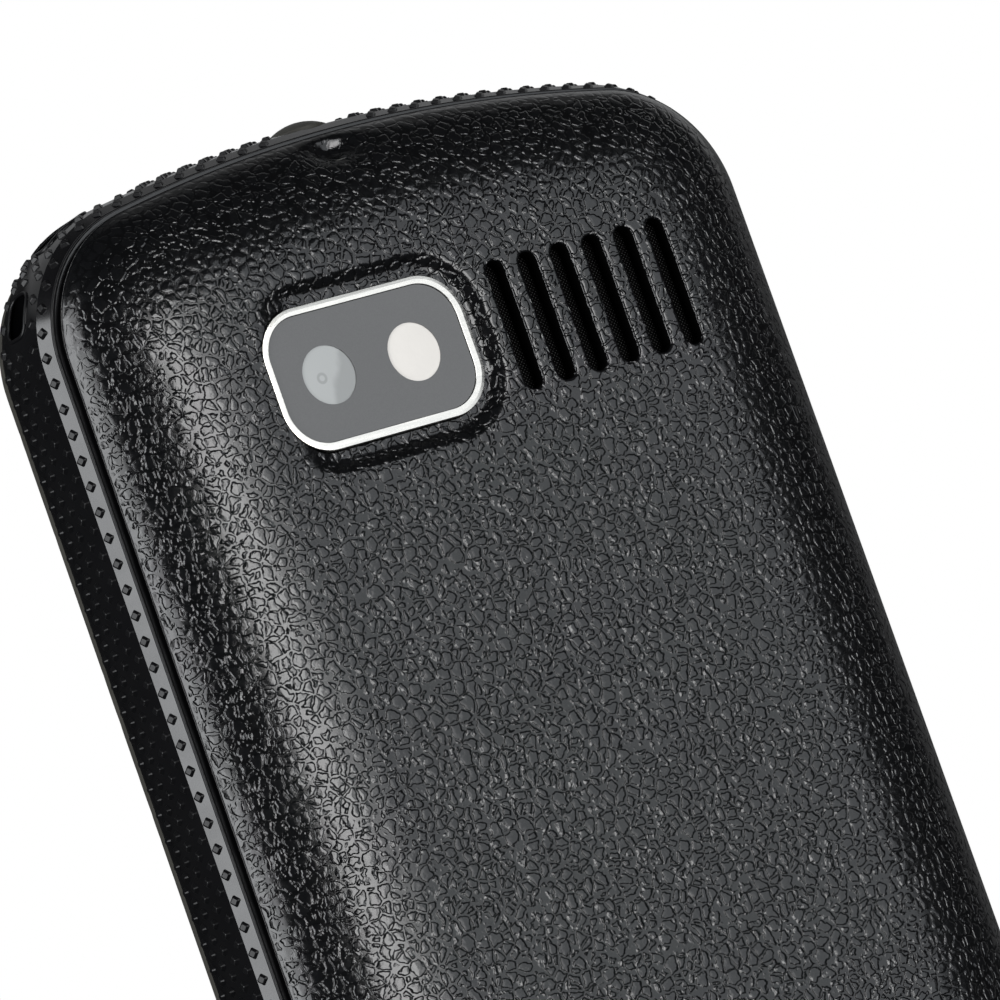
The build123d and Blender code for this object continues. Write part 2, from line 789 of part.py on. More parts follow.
def camera_pieces():
    """Camera, flash and their silver-rimmed window, all carried by the mid frame's tower."""
    centre = (camera_x, camera_y)
    lens_at = (lens_x, camera_y)
    flash_at = (flash_x, camera_y)
    block_top = camera_board_top + camera_block_height
    barrel_top = bezel_low
    module = block(camera_block_side, camera_block_side, camera_board_top, block_top, lens_at)
    module += post(barrel_radius, block_top, barrel_top, lens_at)
    module -= post(lens_radius + shaft_clearance, barrel_top - lens_pocket, barrel_top, lens_at)
    lens_low = barrel_top - lens_pocket
    lens = post(lens_radius, lens_low, lens_low + lens_thickness, lens_at)
    flash_top = camera_board_top + flash_height
    bezel = block(bezel_width, bezel_length, bezel_low, bezel_top, centre, bezel_corner)
    inner_corner = bezel_corner - bezel_border
    bezel -= block(bezel_width - 2 * bezel_border, bezel_length - 2 * bezel_border, window_low, bezel_top,
                   centre, inner_corner)
    bezel -= block(bezel_width - 2 * bezel_ledge_width, bezel_length - 2 * bezel_ledge_width, bezel_low,
                   window_low, centre, bezel_corner - bezel_ledge_width)
    fit = bezel_border + shaft_clearance
    return {
        "camera_board": block(pocket_width - 2 * seat_clearance, pocket_length - 2 * seat_clearance, deck_top,
                              camera_board_top, centre),
        "camera_module": module,
        "camera_lens": lens,
        "flash_led": block(flash_side, flash_side, camera_board_top, flash_top, flash_at),
        "flash_diffuser": post(diffuser_radius, flash_top, window_low, flash_at),
        "camera_bezel": bezel,
        "camera_window": block(bezel_width - 2 * fit, bezel_length - 2 * fit, window_low, window_top, centre,
                               bezel_corner - fit),
    }


def battery_pieces():
    """Battery in its bay, the connector at its top end, and the card holders below it."""
    body = block(battery_width, battery_length, deck_top, deck_top + battery_thickness, (0, battery_y),
                 battery_corner)
    body = chamfer(body.faces().sort_by(Axis.Z)[-1].edges(), battery_edge_chamfer)
    connector = block(connector_width, connector_length, deck_top, deck_top + connector_height,
                      (0, connector_y))
    contact_y = connector_y - (connector_length + contact_reach) / 2
    contacts = []
    for k in range(contact_count):
        x = (k - (contact_count - 1) / 2) * contact_pitch
        contacts.append(block(contact_width, contact_reach, deck_top, deck_top + contact_height,
                              (x, contact_y)))
    holders = [card_holder(sim_width, sim_length, (side * sim_spacing / 2, sim_y)) for side in (-1, 1)]
    return {
        "battery": body,
        "battery_connector": connector,
        "battery_contacts": Compound([c.solid() for c in contacts]),
        "sim_holders": Compound([h.solid() for h in holders]),
        "memory_card_holder": card_holder(card_width, card_length, (0, card_y)),
    }


def card_holder(width, length, place):
    """Sheet metal card cage, open at its lower end."""
    cage = block(width, length, deck_top, deck_top + holder_height, place)
    low = deck_top + holder_sheet
    return cage - block(width - 2 * holder_sheet, length, low, low + holder_slot,
                        (place[0], place[1] - holder_stop))


def socket_pieces():
    """Charging socket and headphone jack in the bottom edge."""
    usb_end = usb_mouth + usb_length
    shell = RectangleRounded(usb_width, usb_height, usb_corner)
    hollow = RectangleRounded(usb_width - 2 * usb_sheet, usb_height - 2 * usb_sheet, usb_corner - usb_sheet)
    usb = along_y(shell, usb_mouth, usb_end, usb_x, usb_z)
    usb -= along_y(hollow, usb_mouth, usb_end - usb_back_wall, usb_x, usb_z)
    usb += along_y(Rectangle(usb_tongue_width, usb_tongue_height), usb_mouth + usb_back_wall, usb_end, usb_x,
                   usb_z)
    jack = block(jack_width, jack_body_length, board_back, board_back + jack_height,
                 (jack_x, jack_front + jack_body_length / 2))
    jack += along_y(Circle(jack_collar_radius), jack_mouth, jack_front, jack_x, jack_z)
    jack -= along_y(Circle(jack_bore_radius), jack_mouth, jack_mouth + jack_bore_length, jack_x, jack_z)
    return {"usb_socket": usb, "audio_jack": jack}


def top_button_pieces():
    """Domed push button in the top edge and the switch that it presses."""
    cap = along_y(Circle(button_radius), button_flange_face, button_tip, button_x, button_z)
    cap &= Pos(button_x, button_tip - button_dome_radius, button_z) * Sphere(button_dome_radius)
    cap += along_y(Rectangle(button_flange_width, button_flange_height), button_flange_back,
                   button_flange_face, button_x, button_z)
    cap += along_y(Circle(button_plunger_radius), plunger_end, button_flange_back, button_x, button_z)
    switch = block(switch_width, switch_length, board_back, board_back + switch_height,
                   (button_x, switch_back + switch_length / 2))
    switch += along_y(Circle(switch_nib_radius), switch_back + switch_length, switch_face, button_x, button_z)
    return {"top_button": cap, "top_switch": switch}


def motor_pieces():
    """Vibration motor in its cradle and the off-centre weight on its shaft."""
    motor = along_x(Circle(motor_radius), motor_x - motor_length / 2, motor_end, motor_y, motor_z)
    motor -= along_x(Circle(weight_shaft_radius + shaft_clearance), motor_end - weight_shaft_depth, motor_end,
                     motor_y, motor_z)
    weight_start = motor_end + weight_gap
    weight_end = weight_start + weight_length
    half_disc = Circle(weight_radius) - Pos(0, weight_radius) * Rectangle(2 * weight_radius, 2 * weight_radius)
    weight = along_x(half_disc, weight_start, weight_end, motor_y, motor_z)
    shaft_start = motor_end - weight_shaft_depth + weight_gap
    weight += along_x(Circle(weight_shaft_radius), shaft_start, weight_end, motor_y, motor_z)
    return {"vibration_motor": motor, "vibration_weight": weight}


def antenna():
    """Folded foil strip on the deck with a slot that makes its two arms."""
    strip = block(antenna_width, antenna_length, deck_top, deck_top + antenna_thickness,
                  (antenna_x, antenna_y))
    return strip - block(antenna_slot, antenna_length, deck_top, deck_top + antenna_thickness,
                         (antenna_x, antenna_y - antenna_width))


def plunger(place):
    """Square stem that presses one snap dome."""
    return block(key_plunger_side, key_plunger_side, key_back, key_back + key_plunger_length, place)


def keys():
    """Every plain key: a crowned cap through the face, a stop flange and a plunger."""
    pieces = {}
    for name, width, height, place in key_table():
        cap = block(width, height, key_front, key_back, place, key_corner)
        cap = chamfer(cap.faces().sort_by(Axis.Z)[0].edges(), key_crown_chamfer)
        cap += block(width + 2 * key_flange, height + 2 * key_flange, key_back - key_flange_thickness, key_back,
                     place)
        pieces[name] = cap + plunger(place)
    return pieces


def navigation():
    """Rocking ring, the soft carrier that it rocks on, and the key in its middle."""
    centre = (0, nav_y)
    flange_top = face_back + nav_flange_drop
    flange_back = flange_top + nav_flange_thickness
    flange_radius = nav_outer_radius + nav_flange
    roof = key_front + nav_roof
    ring = post(nav_outer_radius, key_front, flange_back, centre)
    ring = chamfer(ring.faces().sort_by(Axis.Z)[0].edges(), key_crown_chamfer)
    ring += post(flange_radius, flange_top, flange_back, centre)
    ring -= [post(nav_inner_radius, key_front, flange_back, centre),
             post(nav_inner_radius + nav_bore_step, roof, flange_back, centre)]
    for k in range(4):
        turn = math.pi / 2 * k
        at = (nav_nub_circle * math.cos(turn), nav_y + nav_nub_circle * math.sin(turn))
        ring += post(nav_nub_radius, flange_back, flange_back + nav_nub_length, at)
    carrier_outer = nav_inner_radius + nav_bore_step - carrier_clearance
    carrier_low = roof + carrier_drop
    ok_key = post(ok_radius, key_front, key_back, centre)
    ok_key = chamfer(ok_key.faces().sort_by(Axis.Z)[0].edges(), key_crown_chamfer)
    ok_key += plunger(centre)
    return {
        "nav_ring": ring,
        "nav_carrier": tube(carrier_outer, carrier_outer - carrier_wall, carrier_low,
                            carrier_low + carrier_height, centre),
        "ok_key": ok_key,
    }


def keypad_layers():
    """Rubber mat with a hole for every plunger, and the sheet of eight-sided snap domes on the board."""
    table = key_table()
    bottom = min(place[1] - height / 2 for _, _, height, place in table) - key_flange
    top = soft_key_y + soft_key_height / 2
    half_width = max(place[0] + width / 2 for _, width, _, place in table)
    centre = (0, (top + bottom) / 2)
    places = [place for _, _, _, place in table]
    mat = block(2 * half_width, top - bottom, mat_low, mat_low + mat_thickness, centre, key_corner)
    hole_side = key_plunger_side + 2 * mat_hole_clearance
    mat -= [block(hole_side, hole_side, mat_low, mat_low + mat_thickness, p) for p in places]
    nav_hole = nav_outer_radius + nav_flange + mat_margin
    mat -= post(nav_hole, mat_low, mat_low + mat_thickness, (0, nav_y))
    sheet = block(2 * half_width, top - bottom, dome_low, board_front, centre, key_corner)
    dome = RegularPolygon(dome_radius, dome_sides)
    for x, y in places + [(0, nav_y)]:
        sheet += Pos(x, y, dome_low - dome_height) * extrude(dome, amount=dome_height)
    return {"keypad_mat": mat, "dome_sheet": sheet}


def all_pieces():
    """Every node of the phone by name."""
    pieces = {
        "mid_frame": mid_frame(),
        "front_housing": front_housing(),
        "rear_cover": rear_cover(),
        "antenna": antenna(),
    }
    for group in (display_pieces, board_pieces, sound_pieces, camera_pieces, battery_pieces, socket_pieces,
                  top_button_pieces, motor_pieces, keys, navigation, keypad_layers):
        pieces.update(group())
    return pieces


os.makedirs("parts", exist_ok=True)
for node, piece in all_pieces().items():
    export_step(piece, os.path.join("parts", node + ".step"))
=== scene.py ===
"""Looks of a bar phone with a grained lift-off back, laid out as an add-on and run as a script."""

import math

import bmesh
import bpy
import numpy as np
from mathutils import Matrix, Vector
from mathutils.geometry import delaunay_2d_cdt


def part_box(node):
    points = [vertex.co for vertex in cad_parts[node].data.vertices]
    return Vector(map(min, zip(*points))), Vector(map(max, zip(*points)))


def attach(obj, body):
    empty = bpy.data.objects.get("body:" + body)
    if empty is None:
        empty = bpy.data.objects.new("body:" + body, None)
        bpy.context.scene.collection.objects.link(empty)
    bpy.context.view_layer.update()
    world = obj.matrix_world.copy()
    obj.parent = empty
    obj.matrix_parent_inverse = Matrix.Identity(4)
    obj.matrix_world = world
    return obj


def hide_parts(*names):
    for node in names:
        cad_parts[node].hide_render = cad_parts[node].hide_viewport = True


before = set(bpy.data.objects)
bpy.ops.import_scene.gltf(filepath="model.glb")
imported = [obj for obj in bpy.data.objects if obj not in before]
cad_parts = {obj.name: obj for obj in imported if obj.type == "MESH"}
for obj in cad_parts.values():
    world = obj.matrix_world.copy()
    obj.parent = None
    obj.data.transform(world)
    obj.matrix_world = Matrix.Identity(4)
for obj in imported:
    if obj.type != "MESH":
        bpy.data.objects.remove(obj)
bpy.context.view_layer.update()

bl_info = {
    "name": "Bar phone looks",
    "version": (1, 0, 0),
    "blender": (4, 5, 0),
    "location": "3D View > Sidebar > Phone",
    "description": "Dresses the packed bar phone: grained cover, studded band, camera window, keys and stage",
    "category": "Object",
}

MM = 0.001
FRAME_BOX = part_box("mid_frame")
COVER_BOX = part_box("rear_cover")
BEZEL_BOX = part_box("camera_bezel")
WINDOW_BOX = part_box("camera_window")
LENS_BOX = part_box("camera_lens")
FLASH_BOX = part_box("flash_diffuser")
MESH_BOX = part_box("speaker_mesh")
BUTTON_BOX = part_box("top_button")

# Fineness of the meshes
EDGE_STEP = 0.2 * MM
PANEL_STEP = 0.5 * MM
PANEL_MARGIN = 0.15 * MM
BEAD_STEP = 0.5 * MM
LIP_STEP = 1.0 * MM
FEWEST_STEPS = 8
TUBE_SIDES = 10
RIM_ROUND_STEPS = 13
INSET_HALVINGS = 26
HANDSET_STEPS = 25
DASH_STEPS = 17

# Rings and sectors of the round pieces
PORT_GRID = (8, 64)
DOT_GRID = (2, 24)
OK_GRID = (3, 32)

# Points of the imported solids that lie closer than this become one
WELD_GAP = 0.001 * MM

# Faces that bend by more than this, in degrees, are shaded apart
SHARP_SOLID = 28.0
SHARP_FRAME = 14.0
SHARP_COVER = 50.0
SHARP_LIP = 30.0
SHARP_RIM = 6.5
SHARP_PANEL = 40.0


def length(label, text, millimetres):
    """Length property with its default given in millimetres."""
    return bpy.props.FloatProperty(name=label, description=text, default=millimetres * MM, unit="LENGTH", precision=5)


def number(label, text, value):
    """Plain number property."""
    return bpy.props.FloatProperty(name=label, description=text, default=value, precision=4)


def count(label, text, value):
    """Whole number property."""
    return bpy.props.IntProperty(name=label, description=text, default=value, min=1)


def angle(label, text, degrees):
    """Angle property with its default given in degrees."""
    return bpy.props.FloatProperty(name=label, description=text, default=math.radians(degrees), subtype="ANGLE")


def span(label, text, ends):
    """Pair of numbers where something starts and ends."""
    return bpy.props.FloatVectorProperty(name=label, description=text, default=ends, size=2, precision=4)


def colour(label, text, value):
    """Linear colour property."""
    return bpy.props.FloatVectorProperty(name=label, description=text, default=value, size=3, subtype="COLOR",
                                         min=0.0, max=1.0)


def place(label, text, millimetres):
    """Point property with its default given in millimetres."""
    return bpy.props.FloatVectorProperty(name=label, description=text, default=[c * MM for c in millimetres],
                                         size=3, subtype="TRANSLATION", precision=5)


class PhoneBodySizes(bpy.types.PropertyGroup):
    """Outline of the phone and the levels of its side band."""

    half_width: length("Half width", "Half of the band's width", FRAME_BOX[1].x / MM)
    half_length: length("Half length", "Half of the body's length", -FRAME_BOX[0].y / MM)
    corner_radius: length("Corner radius", "Radius of the outline's corners", 10.2)
    end_radius: length("End radius", "Radius of the arched ends", 111.0)
    band_radius: length("Band radius", "Radius of the band's barrel section", 10.0)
    widest: length("Widest level", "Height of the band's widest line", 5.4)
    shoulder_low: length("Shoulder foot", "Height where the band's shoulder starts", 7.85)
    shoulder_high: length("Shoulder top", "Height where the band's shoulder ends", 8.9)
    shoulder_inset: length("Shoulder inset", "Inset of the outline at the shoulder's top", 1.0)


class PhoneCoverSizes(bpy.types.PropertyGroup):
    """Rear cover: domed shoulder, moat, slots and nail dimple."""

    foot_inset: length("Foot inset", "Inset of the cover's edge from the body's outline", 1.22)
    seam: length("Seam", "Height of the cover's edge", 9.6)
    top: length("Top", "Height of the cover's flat back", COVER_BOX[1].z / MM)
    crown_reach: length("Crown reach", "Half axis of the shoulder's ellipse across the body", 11.0)
    crown_height: length("Crown height", "Half axis of the shoulder's ellipse upwards", 4.8)
    crown_start: angle("Crown start", "Ellipse angle at the cover's edge", 12.0)
    corner_taper: number("Corner taper", "Loss of corner radius for each unit of inset", 0.35)
    wall: length("Wall", "Thickness of the moulding", 1.2)
    edge: length("Edge", "Height of the upright edge above the seam", 0.1)
    window_gap: length("Window gap", "Gap between the cover and the camera rim", 0.08)
    moat_depth: length("Moat depth", "Depth of the dip round the camera rim", 0.608)
    moat_floor: length("Moat floor", "Width of the dip's flat floor", 0.5)
    moat_width: length("Moat width", "Width of the whole dip", 1.75)
    moat_fade: length("Moat fade", "Stretch over which the dip runs out towards the near side", 4.0)
    slot_count: count("Slots", "Number of sound slots", 6)
    slot_pitch: length("Slot pitch", "Distance from slot to slot", 2.714)
    slot_width: length("Slot width", "Width of a slot", 1.48)
    slot_length: length("Slot length", "Length of a slot", 9.15)
    slot_round: length("Slot round", "Width of the rounded slot edge", 0.3)
    slot_dip: length("Slot dip", "Depth of the rounded slot edge", 0.14)
    dimple: place("Dimple", "Middle of the nail dimple at the top edge", (-3.4, 59.25, 0.0))
    dimple_width: length("Dimple width", "Reach of the dimple along the edge", 1.7)
    dimple_length: length("Dimple length", "Reach of the dimple across the edge", 0.85)
    dimple_depth: length("Dimple depth", "Depth of the nail dimple", 1.05)
    dimple_edge: length("Dimple edge", "Width over which the dimple runs out at the cover's edge", 1.1)
    lip_inset: length("Lip inset", "Inset of the lip that centres the cover", 3.45)
    lip_wall: length("Lip wall", "Thickness of the lip", 0.8)
    lip_low: length("Lip foot", "Height of the lip's lower edge", 9.0)
    lip_high: length("Lip root", "Height of the lip's root in the cover", 11.2)
    spacing: length("Spacing", "Distance between the points of the moulded surface", 0.45)
    edge_reach: length("Edge reach", "Width of the finely divided strip inside the edge", 2.7)
    edge_rings: count("Edge rings", "Rows of points in the strip inside the edge", 11)
    slot_rings: count("Slot rings", "Rows of points on a rounded slot edge", 4)
    moat_rings: count("Moat rings", "Rows of points across the dip", 8)


class PhoneGrain(bpy.types.PropertyGroup):
    """Leather grain of the cover. A scale counts features in each millimetre."""

    scale: number("Scale", "Scale of the islands", 1.2)
    shake_scale: number("Shake scale", "Scale of the noise that moves the channels about", 1.7)
    shake_reach: number("Shake reach", "Width in millimetres over which the channels move about", 0.4)
    uneven_scale: number("Uneven scale", "Scale of the noise that makes the channels wider and narrower", 2.4)
    uneven_reach: number("Uneven reach", "Range over which the channels get wider and narrower", 0.3)
    side: span("Side", "Where an island's side starts and ends, from the channel's middle", (0.045, 0.19))
    dome: span("Dome", "Where an island's dome starts and ends, from the channel's middle", (0.045, 0.5))
    dome_share: number("Dome share", "Height of the dome as a share of the side", 0.42)
    fine_scale: number("Fine scale", "Scale of the fine texture", 6.0)
    fine_share: number("Fine share", "Height of the fine texture as a share of the side", 0.04)
    depth: length("Depth", "Height of an island's side", 0.046)
    wear_scale: number("Wear scale", "Scale of the changes in roughness", 2.2)
    wear: span("Wear", "Least and most roughness", (0.15, 0.21))
    plain_roughness: number("Plain roughness", "Roughness where the finish is shown without its patterns", 0.28)
    # Painted shade in the grain's channels: their colour as a share of the islands' colour
    channel_tone: number("Channel tone", "Colour of the channels as a share of the islands' colour", 0.6)
    least: number("Least depth", "Share of the depth that is left at the cover's edge", 0.15)
    edge_fade: length("Edge fade", "Width over which the grain deepens from the edge", 0.4)
    end_fade: length("End fade", "What the top end adds to that width", 2.2)
    end_start: number("End start", "Share of the half length where the top end starts", 0.74)
    end_span: number("End span", "Share of the half length over which the top end's fade grows", 0.14)


class PhoneBandSizes(bpy.types.PropertyGroup):
    """Studs and bead on the side band."""

    stud_rows: count("Stud rows", "Number of staggered rows", 7)
    stud_pitch: length("Stud pitch", "Distance from stud to stud along a row", 1.79)
    stud_top_row: length("Top row", "Height of the row on the shoulder", 8.2)
    stud_row_step: length("Row step", "Distance from row to row", 0.88)
    stud_reach: length("Stud reach", "Half diagonal of a stud's base", 0.45)
    stud_cut: number("Stud cut", "Share of a stud's corner that is cut off", 0.12)
    stud_top_share: number("Stud top", "Top size as a share of the base", 0.54)
    stud_edge_share: number("Stud edge", "Size at the foot of the top's chamfer as a share of the base", 0.66)
    stud_edge_rise: number("Stud edge rise", "Height at the foot of the top's chamfer as a share of the height", 0.86)
    stud_height: length("Stud height", "Height of a stud", 0.22)
    stud_root: length("Stud root", "Depth of a stud's base in the band", 0.12)
    stud_root_share: number("Stud root share", "Size of the root as a share of the base", 1.2)
    bead_radius: length("Bead radius", "Radius of the bead beside the rear seam", 0.12)
    bead_inset: length("Bead inset", "Inset of the bead's middle", 0.95)
    bead_level: length("Bead level", "Height of the bead's middle", 8.93)
    button_half_width: length("Button half width", "Half width of the smooth field round the top button", 2.9)
    eyelet_side: angle("Side mouth", "Place of the eyelet's side mouth round the corner", 26.0)
    eyelet_side_width: length("Side mouth width", "Width of the eyelet's side mouth", 3.2)
    eyelet_top: angle("Top mouth", "Place of the eyelet's top mouth round the corner", 66.0)
    eyelet_top_width: length("Top mouth width", "Width of the eyelet's top mouth", 4.6)
    eyelet_height: length("Mouth height", "Height of the eyelet's mouths", 2.4)
    eyelet_corner: length("Mouth corner", "Corner radius of the eyelet's mouths", 0.8)
    eyelet_margin: length("Mouth margin", "Smooth margin round the eyelet's mouths", 0.45)
    eyelet_lip: length("Mouth lip", "Radius of the rounded lip round the eyelet's mouths", 0.14)
    socket_half_width: length("Socket half width", "Half width of the smooth field round a socket", 4.6)


class PhoneWindowSizes(bpy.types.PropertyGroup):
    """Camera rim, panel and ports, and the sound screens beside them."""

    rim_grow: length("Rim growth", "How far the rim's foot reaches beyond the plain bezel", 0.13)
    rim_shift: length("Rim shift", "How far the rim lies towards the slots", 0.2)
    rim_lean: length("Rim lean", "How far the rim's opening lies away from the slots", 0.13)
    rim_width: length("Rim width", "Width of the silver rim", 0.57)
    rim_bevel: length("Rim bevel", "Width of the rim's outer slope", 0.26)
    rim_drop: length("Rim drop", "Fall of the rim's outer slope", 0.035)
    rim_corner: length("Rim corner", "Outer corner radius of the rim", 3.2)
    rim_round: length("Rim round", "Radius of the rim's upper outer edge", 0.06)
    panel_gap: length("Panel gap", "Gap between the rim and the panel", 0.02)
    panel_dome: length("Panel dome", "Rise of the panel's middle", 0.04)
    port_radius: length("Port radius", "Radius of the lens and flash ports", 2.03)
    port_depth: length("Port depth", "Depth of the ports below the panel", 0.04)
    screen_pitch: length("Screen pitch", "Distance from point to point on the sound screens", 0.2)
    # Size of the painted glints on the sound screens
    screen_dot: number("Screen dot", "Radius of a bright point as a share of the pitch", 0.16)


class PhoneColours(bpy.types.PropertyGroup):
    """Linear base colours of the finishes."""

    cover: colour("Cover", "Grained black plastic", (0.003, 0.0032, 0.0036))
    band: colour("Band", "Gloss black plastic", (0.0035, 0.0035, 0.004))
    face: colour("Face", "Satin charcoal plastic", (0.055, 0.053, 0.046))
    button: colour("Button", "Smooth black plastic with a warm cast", (0.03, 0.029, 0.024))
    rim: colour("Rim", "Silver rim", (0.58, 0.565, 0.53))
    panel: colour("Panel", "Grey print behind the clear panel", (0.074, 0.074, 0.074))
    lens: colour("Lens port", "Pale lens port", (0.285, 0.295, 0.292))
    flash: colour("Flash port", "White flash port", (0.63, 0.605, 0.57))
    # Painted shade: the slot walls are the cover's plastic, painted near black for the shade inside the slots
    hollow: colour("Slot walls", "Black inside the sound slots", (0.0008, 0.0008, 0.0008))
    # Painted glints: colour of the bright points on the sound screens' black ground
    screen_mesh: colour("Sound mesh", "Fine dark screen behind the slots", (0.065, 0.065, 0.065))
    key: colour("Keys", "Satin key plastic", (0.014, 0.014, 0.015))
    legend: colour("Legend", "Printed key legends", (0.72, 0.73, 0.74))
    call: colour("Call mark", "Green mark on the call key", (0.03, 0.42, 0.07))
    end: colour("End mark", "Red mark on the end key", (0.55, 0.02, 0.015))
    screen: colour("Screen", "Display seen through its window while it is off", (0.012, 0.014, 0.017))
    ring: colour("Ring", "Satin silver navigation ring", (0.5, 0.5, 0.5))
    steel: colour("Steel", "Tinned sheet steel", (0.6, 0.6, 0.58))
    dark_steel: colour("Dark steel", "Blackened screws and sintered metal", (0.13, 0.13, 0.13))
    gold: colour("Gold", "Gold plated contacts and foil", (0.8, 0.55, 0.2))
    board: colour("Board", "Green solder mask", (0.008, 0.075, 0.03))
    rubber: colour("Rubber", "Soft black rubber and foam", (0.018, 0.018, 0.018))
    wrap: colour("Battery sleeve", "Grey shrink sleeve", (0.1, 0.105, 0.115))
    inner: colour("Inner plastic", "Plain black moulded plastic", (0.02, 0.02, 0.022))


class PhoneFrontSizes(bpy.types.PropertyGroup):
    """Printed marks on the keys and the border of the display window."""

    digit_height: length("Digit height", "Height of a printed digit", 3.3)
    mark_height: length("Mark height", "How far a printed mark stands out of its key", 0.02)
    handset_radius: length("Handset radius", "Radius of the call and end marks' arc", 2.6)
    handset_reach: angle("Handset reach", "Half angle of the call and end marks' arc", 50.0)
    handset_waist: length("Handset waist", "Half width of the marks' middle", 0.34)
    handset_end: length("Handset end", "Half width of the marks' ends", 0.75)
    handset_tilt: angle("Handset tilt", "Lean of the call mark", 45.0)
    handset_flare: span("Handset flare", "Shares of the half arc between which the marks widen", (0.5, 0.75))
    dash_length: length("Dash length", "Length of the soft keys' dash", 3.6)
    dash_width: length("Dash width", "Width of the soft keys' dash", 0.6)
    dot_circle: length("Dot circle", "Radius of the circle of the ring's four dots", 5.6)
    dot_radius: length("Dot radius", "Radius of one dot on the ring", 0.32)
    ok_mark: length("Ok mark", "Radius of the disc on the middle key", 0.9)
    border_x: length("Border across", "Black border at the sides of the display window", 3.2)
    border_y: length("Border along", "Black border at the ends of the display window", 3.2)


class PhoneStage(bpy.types.PropertyGroup):
    """Camera, floor and the faint light from all round."""

    camera_place: place("Camera place", "Camera position", (-255.85, -8.65, 402.88))
    camera_turn: bpy.props.FloatVectorProperty(
        name="Camera turn", description="Camera rotation about X, Y and Z", subtype="EULER", size=3,
        default=[math.radians(d) for d in (16.8697, -29.3341, -22.4155)])
    focal_share: number("Focal share", "Focal length as a share of the sensor's width", 7.0)
    floor_half: length("Floor half width", "Half width of the floor", 4000.0)
    floor_drop: length("Floor drop", "How far the floor lies below the front rim", 0.05)
    floor_colour: colour("Floor colour", "Floor as the camera sees it", (1.0, 1.0, 1.0))
    floor_fade: span("Floor fade", "Where the floor's bounce starts and ends to grow across, in millimetres",
                     (-30.0, 10.0))
    floor_bounce: span("Floor bounce", "Share of the light that the floor throws back on the two sides", (0.03, 0.13))
    strip_rise: span("Strip rise", "Where the brighter strip beyond the top edge sets in, in millimetres", (60.0, 62.0))
    strip_fall: span("Strip fall", "Where that strip starts and ends to fade, in millimetres", (72.0, 90.0))
    strip_bounce: number("Strip bounce", "Share of the light that the strip adds", 0.3)
    world_colour: colour("World colour", "Faint light from all round", (0.03, 0.03, 0.032))
    near_clip: length("Near clip", "Nearest distance that the camera shows", 10.0)


# Outlines

def outline_loop(half_width, half_length, radius, end_radius=math.inf, middle=(0.0, 0.0)):
    """Closed outline as eight stretches: straight sides, round corners, and ends that are arched or straight.

    Each stretch is (length, middle x, middle y, radius, first angle). A straight one has an infinite radius and its
    middle is its first point. The corner circle touches the side line, and it touches the end line or, from inside,
    the end arc. The second four stretches are the first four turned by half a turn.
    """
    corner_x, corner_y, tilt = half_width - radius, half_length - radius, math.pi / 2
    end = (2 * corner_x, corner_x, half_length, math.inf, tilt)
    if math.isfinite(end_radius):
        arc_y = half_length - end_radius
        corner_y = arc_y + math.sqrt((end_radius - radius) ** 2 - corner_x ** 2)
        tilt = math.atan2(corner_y - arc_y, corner_x)
        end = (end_radius * (math.pi - 2 * tilt), 0.0, arc_y, end_radius, tilt)
    half = [
        (2 * corner_y, half_width, -corner_y, math.inf, 0.0),
        (radius * tilt, corner_x, corner_y, radius, 0.0),
        end,
        (radius * tilt, -corner_x, corner_y, radius, math.pi - tilt),
    ]
    return [(size, middle[0] + sign * x, middle[1] + sign * y, bend, first + turn)
            for sign, turn in ((1, 0.0), (-1, math.pi)) for size, x, y, bend, first in half]


def box_loop(width, height, radius, middle):
    """Closed rounded rectangle."""
    return outline_loop(width / 2, height / 2, radius, middle=middle)


def loop_length(loop):
    """Length all round an outline."""
    return sum(stretch[0] for stretch in loop)


def walk(loop, distance):
    """Points and outward normals at distances along an outline: straight on a side, turning on an arc."""
    distance = np.mod(distance, loop_length(loop))
    points = np.zeros((len(distance), 2))
    normals = np.zeros((len(distance), 2))
    start = 0.0
    for size, cx, cy, radius, first in loop:
        here = (distance >= start) & (distance <= start + size)
        along = distance[here] - start
        turn = first + (along / radius if math.isfinite(radius) else 0 * along)
        normal = np.stack([np.cos(turn), np.sin(turn)], 1)
        if math.isfinite(radius):
            points[here] = np.array([cx, cy]) + radius * normal
        else:
            points[here] = np.array([cx, cy]) + along[:, None] * np.stack([-normal[:, 1], normal[:, 0]], 1)
        normals[here] = normal
        start += size
    return points, normals


def points_along(loop, spacing):
    """Points and outward normals all round an outline, in equal steps near a spacing."""
    total = loop_length(loop)
    steps = max(int(round(total / spacing)), FEWEST_STEPS)
    return walk(loop, np.arange(steps) * (total / steps))


def turns(sectors):
    """Angles that part a full turn into equal sectors."""
    return np.arange(sectors) * (2 * math.pi / sectors)


def pairs(first, second):
    """Every pair of values from two rows, as two long columns."""
    return [column.ravel() for column in np.meshgrid(first, second, indexing="ij")]


def box_middle(box):
    """Middle of a box, seen from above."""
    return (box[0].x + box[1].x) / 2, (box[0].y + box[1].y) / 2


def body_loop(body, inset=0.0):
    """Outline of the body, parallel to its widest line."""
    return outline_loop(body.half_width - inset, body.half_length - inset, body.corner_radius - inset,
                        body.end_radius - inset)


def smooth_step(value):
    """Smooth ramp from 0 to 1 for values from 0 to 1: three squares less two cubes."""
    t = np.clip(value, 0.0, 1.0)
    return t * t * (3 - 2 * t)


def box_distance(points, width, height, radius, middle):
    """Signed distance to a rounded rectangle, negative inside: that to its core box, less the corner radius."""
    q = np.abs(points - np.array(middle)) - np.array([width / 2 - radius, height / 2 - radius])
    outside = np.linalg.norm(np.maximum(q, 0.0), axis=1)
    return outside + np.minimum(q.max(axis=1), 0.0) - radius


# Meshes

def split_edges(piece, sharp):
    """Shade faces apart where they bend by more than an angle in degrees."""
    split = piece.modifiers.new("Sharp edges", "EDGE_SPLIT")
    split.split_angle = math.radians(sharp)


